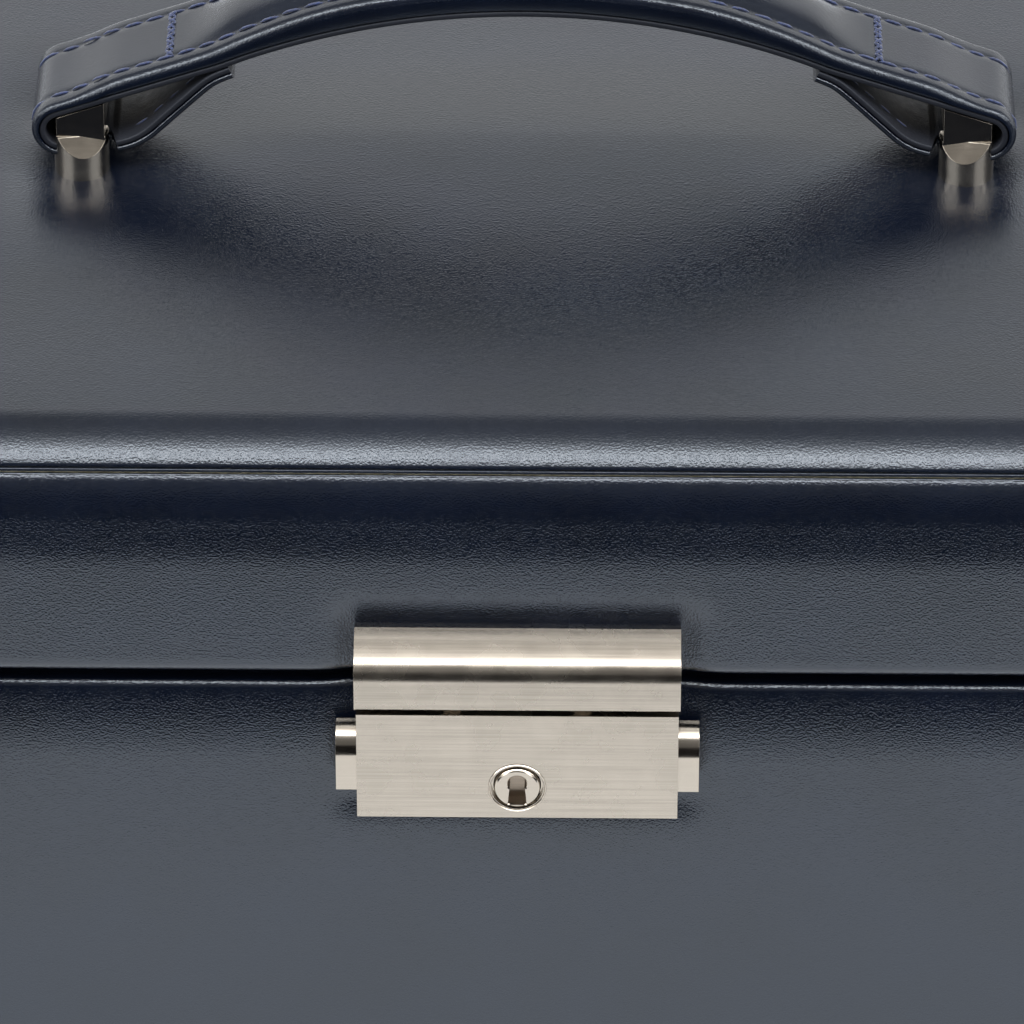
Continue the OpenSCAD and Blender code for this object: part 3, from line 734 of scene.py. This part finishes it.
def rear_bevel_up(co, z0):
    """The rear edge of the base faces up and back."""
    plane = z0 - (co[:, 1] - BEVEL_Y) * math.tan(BEVEL_A)
    co[:, 2] = np.where(co[:, 1] > BEVEL_Y, np.minimum(co[:, 2], plane), co[:, 2])
    return co


def rear_bevel_down(co, z0):
    """The rear edge of the lid faces down and back."""
    plane = z0 + (co[:, 1] - BEVEL_Y) * math.tan(BEVEL_A)
    co[:, 2] = np.where(co[:, 1] > BEVEL_Y, np.maximum(co[:, 2], plane), co[:, 2])
    return co


def seam_station(along, out):
    """Loop near the seam: along runs up the shoulder, out stands off it, both in millimetres."""
    a = math.radians(SEAM_A)
    inset = PAD_R * (1 - math.cos(a)) + (along * math.sin(a) - out * math.cos(a)) * MM
    z = TOP_Z - PAD_R + PAD_R * math.sin(a) + (along * math.cos(a) + out * math.sin(a)) * MM
    return (inset, z, CORNER_R + 0.5 * PAD_R * (1 - math.cos(a)))


# cut edges of the two panels, as (along, out) of seam_station
TOP_LIP = [(0.30, -0.90), (0.26, -0.40), (0.31, -0.22), (0.42, -0.10), (0.58, -0.03)]
SIDE_LIP = [
    (-1.32, -0.105), (-1.08, -0.105), (-0.86, -0.125), (-0.68, -0.165), (-0.53, -0.225),
    (-0.42, -0.31), (-0.35, -0.43), (-0.34, -0.9),
]
BEAD_R, BEAD_SINK = 0.24, 0.26


def make_lid_top():
    """Padded top panel, turned under at the seam."""
    start = SEAM_A + math.degrees(0.8 * MM / PAD_R)
    shoulder = arc_stations(0, TOP_Z - PAD_R, PAD_R, start, 90, 18, CORNER_R)
    stations = [seam_station(*point) for point in TOP_LIP] + shoulder
    verts, faces, count = PLAN.skin(stations)
    PLAN.fill(verts, faces, count, *shoulder[-1])
    piece = add_piece(
        "lid_top_cover", dimples(verts), faces, "navy_leather", "lid",
        replaces=("lid_top_leather",),
    )


def make_seam_bead():
    """Thin piping between the two panels of the lid."""
    stations = []
    for i in range(13):
        t = 2 * math.pi * i / 12
        stations.append(seam_station(BEAD_R * math.cos(t), BEAD_R * math.sin(t) - BEAD_SINK))
    verts, faces, _ = PLAN.skin(stations)
    add_piece("lid_seam_piping", verts, faces, "strap_leather", "lid")


def make_lid_sides():
    """Side panel of the lid, from inside its lower edge up to the seam."""
    low = LID_EDGE_R
    lower = [(WALL_T, LID_Z + 2 * MM, 1 * MM), (WALL_T, LID_Z + 0.3 * MM, 1 * MM)]
    lower.append((WALL_T - 0.4 * MM, LID_Z, 1.5 * MM))
    for i in range(7):
        a = math.radians(90 - 90 * i / 6)
        inset = low * (1 - math.cos(a))
        lower.append((inset, LID_Z + low - low * math.sin(a), CORNER_R - inset * 0.6))
    walls = [(0, z, CORNER_R) for z in np.linspace(LID_Z + low, TOP_Z - PAD_R, 20)[1:-1]]
    end = SEAM_A - math.degrees(1.6 * MM / PAD_R)
    shoulder = arc_stations(0, TOP_Z - PAD_R, PAD_R, 0, end, 10, CORNER_R)
    lip = [seam_station(*point) for point in SIDE_LIP]
    verts, faces, _ = PLAN.skin(lower + walls + shoulder + lip)
    co = bowed(np.array(verts, float), TOP_Z - PAD_R + 2 * MM)
    co = rear_bevel_down(hasp_dent(co), LID_Z)
    add_piece(
        "lid_side_cover", co, faces, "navy_leather", "lid",
        replaces=("lid_side_leather",),
    )


def make_base_cover():
    """Base leather: turned under the bottom edge and over the rim."""
    rim, foot = RIM_R, FOOT_R
    stations = [(5 * MM, base_low.z + 0.05 * MM, 1.5 * MM), (foot, base_low.z, CORNER_R - foot)]
    for i in range(1, 5):
        a = math.radians(90 * i / 4)
        stations.append((foot * (1 - math.sin(a)), base_low.z + foot * (1 - math.cos(a)), CORNER_R))
    low_levels = [6, 14, 24, 34, 44, 52, 56]
    levels_by_the_lock = list(np.arange(58.6, 86.4, 0.9))
    stations += [(0, z * MM, CORNER_R) for z in low_levels + levels_by_the_lock]
    for i in range(9):
        a = math.radians(90 * i / 8)
        inset = rim * (1 - math.cos(a))
        stations.append((inset, RIM_Z - rim + rim * math.sin(a), CORNER_R - 0.6 * inset))
    stations += [
        (WALL_T - 0.4 * MM, RIM_Z, 1.5 * MM),
        (WALL_T, RIM_Z - 0.4 * MM, 1 * MM),
        (WALL_T, RIM_Z - 3 * MM, 1 * MM),
    ]
    verts, faces, _ = PLAN.skin(stations)
    co = np.array(verts, float)
    near = np.clip((co[:, 2] - RIM_Z + RIM_LEAN_H) / RIM_LEAN_H, 0, 1)
    co = leant(co, RIM_LEAN * near ** 1.8)
    co = rear_bevel_up(hasp_dent(co), RIM_Z)
    add_piece(
        "base_cover", co, faces, "navy_leather", "base", replaces=("base_leather",)
    )


def make_edge_strip(name, body, board, z, thick):
    """Leather over the part of a rear board's edge that the outer leather doesn't reach.
    It lies on the board's edge at z, on the side that the sign of thick gives."""
    y0, y1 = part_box(board)[0].y, REAR_Y - WALL_T
    reach = CASE_X - WALL_T
    ease = 0.1 * MM
    shoulder = z + thick + math.copysign(ease, -thick)
    profile = [
        (y0, z), (y0, shoulder), (y0 + ease, z + thick),
        (y1 - ease, z + thick), (y1, shoulder), (y1, z),
    ]
    verts, faces = [], []
    steps = 60
    for n in range(steps + 1):
        x = -reach + 2 * reach * n / steps
        verts += [(x, y, level) for y, level in profile]
    count = len(profile)
    ring_faces(faces, steps + 1, count)
    faces.append(tuple(range(count)))
    faces.append(tuple(range(len(verts) - count, len(verts)))[::-1])
    piece = add_piece(name, verts, faces, "navy_leather", body)
    piece.data.set_sharp_from_angle(angle=math.radians(60))


def make_edge_strips():
    """The strips that face each other across the gap at the hinges."""
    base_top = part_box("base_rear_board")[1].z
    lid_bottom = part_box("lid_rear_board")[0].z
    make_edge_strip("base_rear_edge_strip", "base", "base_rear_board", base_top, STRIP_T)
    make_edge_strip("lid_rear_edge_strip", "lid", "lid_rear_board", lid_bottom, -STRIP_T)


# ---------------------------------------------------------------- handle
# x and z of the strap's path are in millimetres from the middle of the lid's top

RISE, ARCH_R = 23.4, 96.0
BLEND_X, BLEND = 35, 6
LOOP_X, LOOP_Z, LOOP_R = 58.6, 6.2, 2.1
TAIL_A = math.radians(19)
HEEL_X, HEEL_R = 52.6, 8.0
HEEL_A = (math.radians(5), math.radians(45))
TONGUE_X = 37.3
LINING_T, LEATHER_T = 0.8, 1.0
MID_T, END_T = 4.0, 2.6
TAPER_X, TAPER = 20, 24
THIN_X, THIN_RAMP = 50, 8
DOME_H, DOME_RAMP = 1.0, 8
EDGE_R = 1.25
GROOVE = 0.13
HALF_W = (strap_high.y - strap_low.y) / 2 / MM
WAIST, WAIST_X = 4.7, 4.4
SOFT = 0.45

# stitches: how far the rows lie from the middle, where the crossed rows are, and one stitch
ROW_W = 5.35
CROSS_X = 44.0
PITCH = 2.9


def under_z(x):
    """Underside of the strap: an arch that runs into a straight tail."""
    arch = RISE - ARCH_R + math.sqrt(ARCH_R**2 - x * x)
    tail = LOOP_Z + LOOP_R / math.cos(TAIL_A) + (LOOP_X - x) * math.tan(TAIL_A)
    k = float(smooth_step((x - BLEND_X) / BLEND))
    return arch + (tail - arch) * k


def run_z(x):
    """Inner face of the run under the strap: flat, a heel, a climb, then along the underside."""
    def flat(v):
        return LOOP_Z - LOOP_R / math.cos(HEEL_A[0]) + (LOOP_X - v) * math.tan(HEEL_A[0])

    end_x = HEEL_X - HEEL_R * (math.sin(HEEL_A[1]) - math.sin(HEEL_A[0]))
    rise = HEEL_R * (math.cos(HEEL_A[0]) - math.cos(HEEL_A[1]))
    if x > HEEL_X:
        return flat(x)
    if x > end_x:
        s = math.sin(HEEL_A[0]) + (HEEL_X - x) / HEEL_R
        return flat(HEEL_X) + HEEL_R * (math.cos(HEEL_A[0]) - math.sqrt(1 - s * s))
    roof = under_z(x) - 0.15
    climb = flat(HEEL_X) + rise + (end_x - x) * math.tan(HEEL_A[1])
    return -SOFT * math.log(math.exp(-roof / SOFT) + math.exp(-climb / SOFT))


def strap_path():
    """Inner face of the right half of the strap, with what each point is part of."""
    start = LOOP_X + LOOP_R * math.sin(TAIL_A)
    points = [(x, under_z(x), "top") for x in np.linspace(0, start, 75)[:-1]]
    for i in range(19):
        a = math.pi / 2 - TAIL_A - (math.pi - TAIL_A + HEEL_A[0]) * i / 18
        points.append((LOOP_X + LOOP_R * math.cos(a), LOOP_Z + LOOP_R * math.sin(a), "loop"))
    points += [(x, run_z(x), "run") for x in np.linspace(LOOP_X - 0.4, TONGUE_X, 50)]
    return points


class Strap:
    """The whole strap as stations from the left tongue to the right one."""

    def __init__(self):
        half = strap_path()
        whole = [(-x, z, kind) for x, z, kind in half[:0:-1]] + half
        self.xz = np.array([(x, z) for x, z, kind in whole])
        self.kind = [kind for x, z, kind in whole]
        step = np.gradient(self.xz, axis=0)
        step /= np.linalg.norm(step, axis=1)[:, None]
        self.along = step
        self.out = np.stack([-step[:, 1], step[:, 0]], 1)
        lengths = np.linalg.norm(np.diff(self.xz, axis=0), axis=1)
        self.s = np.concatenate([[0], np.cumsum(lengths)])

    def thickness(self, i):
        """Thickness at the edge of the strap."""
        thin = LINING_T + LEATHER_T
        if self.kind[i] != "top":
            return thin
        x = abs(self.xz[i, 0])
        full = MID_T + (END_T - MID_T) * float(smooth_step((x - TAPER_X) / TAPER))
        return full + (thin - full) * float(smooth_step((x - THIN_X) / THIN_RAMP))

    def dome(self, i):
        """How far the padding lifts the middle of the strap over its edges."""
        if self.kind[i] != "top":
            return 0.0
        return DOME_H * float(smooth_step((CROSS_X - 1.6 - abs(self.xz[i, 0])) / DOME_RAMP))

    def half_width(self, i):
        """Half the width; the run under the strap is cut in round the feet of the bracket."""
        if self.kind[i] != "run":
            return HALF_W
        off = abs(abs(self.xz[i, 0]) - POST_X / MM)
        return HALF_W - (HALF_W - WAIST) * float(smooth_step((WAIST_X - off) / 0.6))

    def place(self, i, w, h):
        """Point at w across the strap and h above its inner face, in metres."""
        x, z = self.xz[i] + h * self.out[i]
        return (x * MM, HANDLE_Y + w * MM, TOP_Z + z * MM)

    def at(self, s, w, h):
        """The same at a length s along the strap."""
        i = int(np.clip(np.searchsorted(self.s, s) - 1, 0, len(self.s) - 2))
        t = (s - self.s[i]) / (self.s[i + 1] - self.s[i])
        a, b = np.array(self.place(i, w, h)), np.array(self.place(i + 1, w, h))
        return a + (b - a) * t

    def index(self, s):
        return int(np.clip(np.searchsorted(self.s, s), 0, len(self.s) - 1))


STRAP = Strap()


def leather_section(strap, i):
    """Outline of the outer leather across the strap: rolled edges, stitch grooves, padded middle."""
    t, dome, half = strap.thickness(i), strap.dome(i), strap.half_width(i)
    edge = min(EDGE_R, t - LINING_T - 0.15)
    low = LINING_T + 0.02
    right = [(half - 0.55, low), (half - 0.2, low + 0.08), (half - 0.05, low + 0.28)]
    for k in range(7):
        a = math.radians(90 * k / 6)
        right.append((half - edge + edge * math.cos(a), t - edge + edge * math.sin(a)))
    for w, dip in ((ROW_W + 0.75, 0), (ROW_W + 0.38, 0.3), (ROW_W, 1), (ROW_W - 0.38, 0.35)):
        if w < half - edge - 0.05:
            right.append((w, t - GROOVE * dip))
    inner = ROW_W - 0.62
    if half < ROW_W + 1:
        inner = half - edge - 0.3
    for k in range(7):
        w = inner * (1 - k / 6)
        lift = dome * (1 - (w / inner) ** 2.4) ** 0.75
        right.append((w, t + lift))
    while len(right) < 21:
        right.insert(10, right[9])
    left = [(-w, h) for w, h in right[-2::-1]]
    return right + left


def lining_section(strap, i):
    """Outline of the lining: a thin strip whose cut edges show under the leather."""
    half = strap.half_width(i) - 0.12
    h = LINING_T - 0.03
    r = 0.22
    right = [(half - r, 0), (half - 0.06, 0.07), (half, r), (half, h - r), (half - 0.06, h - 0.07)]
    right.append((half - r, h))
    return [(w, k) for w, k in right] + [(-w, k) for w, k in right[::-1]]


def sweep(section, stations, name, material, replaces):
    """Closed tube of sections along the strap, with flat ends."""
    verts, faces = [], []
    for i in stations:
        outline = section(STRAP, i)
        count = len(outline)
        verts += [STRAP.place(i, w, h) for w, h in outline]
    ring_faces(faces, len(stations), count)
    faces.append(tuple(range(count)))
    faces.append(tuple(range(len(verts) - count, len(verts)))[::-1])
    piece = add_piece(name, verts, faces, material, "lid", replaces=replaces)
    piece.data.set_sharp_from_angle(angle=math.radians(60))
    return piece


STITCH_R = 0.175 * MM
STITCH_GAP = 0.42
STITCH_RISE = (-0.12, 0.04, 0.07, 0.04, -0.12)
FOOT_CLEAR = 6.5
CROSSINGS = 8
CROSS_HALF = 0.55
NO_STITCH_RUNS = (0.13, 0.31, 0.94)


def capsule(verts, faces, points, radius, sides=8):
    """Adds a round thread along points, pinched at both ends."""
    points = [np.array(p, float) for p in points]
    base = len(verts)
    for n, p in enumerate(points):
        ahead = points[min(n + 1, len(points) - 1)] - points[max(n - 1, 0)]
        ahead /= np.linalg.norm(ahead)
        side = np.cross(ahead, NO_STITCH_RUNS)
        side /= np.linalg.norm(side)
        up = np.cross(side, ahead)
        r = radius * (0.45 if n in (0, len(points) - 1) else 1.0)
        for k in range(sides):
            a = 2 * math.pi * k / sides
            verts.append(p + r * (math.cos(a) * side + math.sin(a) * up))
    ring_faces(faces, len(points), sides, base)
    faces.append(tuple(range(base, base + sides))[::-1])
    faces.append(tuple(range(len(verts) - sides, len(verts))))


def stitch_row(verts, faces, side, rng):
    """Stitches along one edge of the strap. On the runs they show on the inner face too."""
    s = 2.0 + (0.9 if side > 0 else 0)
    while s < STRAP.s[-1] - 3.5:
        i = STRAP.index(s + PITCH / 2)
        off = abs(abs(STRAP.xz[i, 0]) - POST_X / MM)
        on_run = STRAP.kind[i] == "run"
        if not (on_run and off < FOOT_CLEAR):
            length = PITCH - STITCH_GAP + rng.uniform(-0.08, 0.08)
            t = STRAP.thickness(i)
            skew = rng.uniform(-0.05, 0.05)
            outside, inside = [], []
            for k, rise in enumerate(STITCH_RISE):
                here = s + length * k / 4
                w = side * ROW_W + skew * (k - 2) / 2
                outside.append(STRAP.at(here, w, t + rise - 0.06))
                inside.append(STRAP.at(here, side * ROW_W, 0.10 - rise))
            capsule(verts, faces, outside, STITCH_R)
            if on_run:
                capsule(verts, faces, inside, STITCH_R * 0.9)
        s += PITCH


def cross_rows(verts, faces, sx):
    """Two zigzag rows across the strap, one over the other, where the run is sewn to it."""
    tops = [i for i, kind in enumerate(STRAP.kind) if kind == "top"]
    middle = min(tops, key=lambda i: abs(STRAP.xz[i, 0] - sx * CROSS_X))
    for lean in (-1, 1):
        h = STRAP.thickness(middle) + (0.05 if lean > 0 else 0.18)
        for k in range(CROSSINGS):
            w0 = -ROW_W + 2 * ROW_W * k / CROSSINGS
            w1 = -ROW_W + 2 * ROW_W * (k + 1) / CROSSINGS
            d0 = CROSS_HALF * lean * (1 if k % 2 else -1)
            row = []
            for q in (0, 0.25, 0.5, 0.75, 1):
                along = STRAP.s[middle] + d0 + (-2 * d0) * q
                row.append(STRAP.at(along, w0 + (w1 - w0) * q, h - 0.25 * abs(2 * q - 1) ** 3))
            capsule(verts, faces, row, STITCH_R * 1.15)


def make_stitching():
    """Two rows of stitches along the whole strap, and the crossed rows near each loop."""
    verts, faces = [], []
    rng = np.random.default_rng(7)
    for side in (-1, 1):
        stitch_row(verts, faces, side, rng)
    for sx in (-1, 1):
        cross_rows(verts, faces, sx)
    add_piece("handle_stitching", verts, faces, "thread", "lid")


def make_handle():
    everything = list(range(len(STRAP.kind)))
    outer = sweep(
        leather_section, everything, "handle_strap", "strap_leather",
        ("handle_leather", "handle_padding"),
    )
    sweep(
        lining_section, everything, "handle_strap_lining", "strap_lining",
        ("handle_lining",),
    )
    make_stitching()


# ---------------------------------------------------------------- metal parts

TURNS = 96


def front_rings(rings, name, body, floor=False):
    """Skin through rings on the front: each ring is a list of (x, z, distance from the leather)."""
    verts, faces = [], []
    for ring in rings:
        verts += [(x * MM, FRONT_Y - d * MM, KEY_Z + z * MM) for x, z, d in ring]
    ring_faces(faces, len(rings), TURNS)
    if floor:
        faces.append(tuple(range(len(verts) - TURNS, len(verts))))
    piece = add_piece(name, verts, faces, "nickel_bright", body)
    piece.data.set_sharp_from_angle(angle=math.radians(30))
    return piece


def circle(r, d):
    step = 2 * math.pi / TURNS
    return [(r * math.cos(k * step), r * math.sin(k * step), d) for k in range(TURNS)]


def keyhole(grow, d):
    """Outline of the keyhole: a round head over a slot that widens downwards."""
    head_z, head_r = 0.75, 1.18 + grow
    foot_z, top_w, foot_w = -2.3 - grow, 0.85 + grow, 1.12 + grow
    outline = []
    for k in range(TURNS):
        a = 2 * math.pi * k / TURNS
        cx, cz = math.cos(a), math.sin(a)
        reach = -head_z * cz
        round_t = -reach + math.sqrt(max(0.0, reach * reach - head_z**2 + head_r**2))
        slot_t = 0.0
        if cz < 0.3:
            lean = (foot_w - top_w) / (head_z - foot_z)
            slot_t = (top_w + lean * head_z) / max(1e-6, abs(cx) + lean * cz)
            if cz < 0:
                slot_t = min(slot_t if slot_t > 0 else 9, foot_z / cz)
        t = max(round_t, slot_t)
        outline.append((t * cx, t * cz, d))
    return outline


def make_bezel():
    """Raised bright ring and the dark groove inside it."""
    rings = [circle(3.6, 4.9), circle(3.6, 5.1), circle(3.54, 5.18), circle(3.42, 5.18)]
    rings += [circle(3.35, 5.1), circle(3.32, 4.3), circle(2.95, 4.3), circle(2.9, 3.0)]
    piece = front_rings(rings, "lock_bezel_ring", "base")
    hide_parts("lock_bezel")


def make_key_cylinder():
    """Bevelled disc with its keyhole."""
    rings = [circle(2.85, 3.0), circle(2.85, 5.02), circle(2.72, 5.2), circle(2.6, 5.28)]
    rings += [keyhole(0.16, 5.28), keyhole(0.05, 5.2), keyhole(0, 5.05), keyhole(0, 3.6)]
    piece = front_rings(rings, "lock_keyhole_disc", "key_cylinder", floor=True)
    # the keyhole's floor gets the darker nickel: painted shade
    piece.data.materials.append(MATERIALS["keyhole_painted_shade"])
    for face in piece.data.polygons[-TURNS - 1:]:
        face.material_index = 1
    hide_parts("lock_cylinder")


def shade_flats(piece):
    """The milled flats of a bracket get a darker nickel tint than its turned wall and its eased
    edges: painted shade.
    """
    # the darker nickel on the flats stands in for shade: painted shade
    piece.data.materials.append(MATERIALS["nickel_painted_shade"])
    for face in piece.data.polygons:
        x, y, _ = face.center
        r = math.hypot(abs(x) - POST_X, abs(y - HANDLE_Y) - POST_Y)
        if face.area > 1.2e-6 and r < 0.96 * POST_R:
            face.material_index = 1


# upper and lower end of the slope over the hasp's nose: distance from the leather and
# height over the lid's edge, in millimetres; then the radius and the lower angle of its crown
HASP_TOP_D, HASP_TOP_Z = 0.4, 7.7
HASP_NOSE_D, HASP_NOSE_Z = 4.5, 5.6
CROWN_R = 18.0
CROWN_A = math.radians(60)
CROWN_CUTS = 12


def crown_hasp(work):
    """Rounds the flat slope over the nose of the hasp, from the nose up to the leather."""
    for i in range(1, CROWN_CUTS):
        d = HASP_TOP_D + (HASP_NOSE_D - HASP_TOP_D) * i / CROWN_CUTS
        bmesh.ops.bisect_plane(
            work, geom=work.verts[:] + work.edges[:] + work.faces[:], dist=1e-7,
            plane_co=(0, FRONT_Y - d * MM, 0), plane_no=(0, 1, 0),
        )
    middle_d = HASP_NOSE_D - CROWN_R * math.cos(CROWN_A)
    middle_z = HASP_NOSE_Z - CROWN_R * math.sin(CROWN_A)
    pitch = (HASP_TOP_Z - HASP_NOSE_Z) / (HASP_NOSE_D - HASP_TOP_D)
    drop = HASP_TOP_Z - middle_z - math.sqrt(CROWN_R**2 - (HASP_TOP_D - middle_d) ** 2)
    for v in work.verts:
        d = (FRONT_Y - v.co.y) / MM
        z = (v.co.z - LID_Z) / MM
        if d < HASP_TOP_D - 0.01 and z > HASP_NOSE_Z:
            v.co.z -= drop * MM
        elif abs(z - HASP_TOP_Z + (d - HASP_TOP_D) * pitch) < 0.03 and d < HASP_NOSE_D + 0.01:
            crown = middle_z + math.sqrt(CROWN_R**2 - (d - middle_d) ** 2)
            v.co.z = LID_Z + crown * MM


def make_metal():
    eased("hasp_plate", 0.6 * MM, "nickel", 5, crown_hasp)
    eased("lock_body", 0.32 * MM, "nickel", 4)
    for side in ("left", "right"):
        shade_flats(eased("bracket_" + side, 0.22 * MM, "nickel_turned", 3))
        eased("button_" + side, 0.35 * MM, "nickel_bright", 3)
        eased("hinge_base_leaf_" + side, 0.12 * MM, "hinge_nickel", 2)
        eased("hinge_lid_leaf_" + side, 0.12 * MM, "hinge_nickel", 2)
    make_bezel()
    make_key_cylinder()


# ---------------------------------------------------------------- velvet inside


def make_inside():
    for node in ("dust_collar", "ring_platform", "long_divider", "front_divider",
                 "rear_divider_left", "rear_divider_right"):
        eased(node, 0.7 * MM, "velvet", 3)
    for node in ("base_lining", "lid_lining"):
        eased(node, 0.3 * MM, "velvet", 2)
    eased("mirror_frame", 1.0 * MM, "navy_leather", 4)
    for i in range(1, 6):
        make_ring_roll(i)


def make_ring_roll(i):
    """Velvet roll with rounded ends and a faint lengthwise puff."""
    node = f"ring_roll_{i}"
    low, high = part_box(node)
    radius = (high.z - low.z) / 2
    y, z = (low.y + high.y) / 2, (low.z + high.z) / 2
    sides, steps = 32, 60
    verts, faces = [], []
    rng = np.random.default_rng(20 + i)
    phase = rng.uniform(0, 6.28, 3)
    for n in range(steps + 1):
        x = low.x + (high.x - low.x) * n / steps
        end = min(x - low.x, high.x - x) / (3.2 * MM)
        shrink = math.sqrt(max(0.0, 1 - (1 - min(1, end)) ** 2)) * 0.75 + 0.25
        for k in range(sides):
            a = 2 * math.pi * k / sides
            puff = 1 - 0.015 - 0.012 * math.sin(x / (7 * MM) + phase[0]) * math.sin(2 * a + phase[1])
            r = radius * shrink * puff
            verts.append((x, y + r * math.cos(a), z + r * math.sin(a)))
    ring_faces(faces, steps + 1, sides)
    faces.append(tuple(range(sides))[::-1])
    faces.append(tuple(range(len(verts) - sides, len(verts))))
    piece = add_piece(f"velvet_roll_{i}", verts, faces, "velvet", "base", replaces=(node,))


# ---------------------------------------------------------------- carried-over CAD nodes


def paint_frame():
    """Gives every CAD node its finish."""
    for node, piece in NODES.items():
        piece.data.materials.clear()
        piece.data.materials.append(MATERIALS[SLOTS[node]])


make_camera()
World().finish()
make_stage()
paint_frame()
make_lid_top()
make_seam_bead()
make_lid_sides()
make_base_cover()
make_edge_strips()
make_handle()
make_metal()
make_inside()

bpy.context.scene.view_settings.view_transform = "Standard"
bpy.context.view_layer.update()
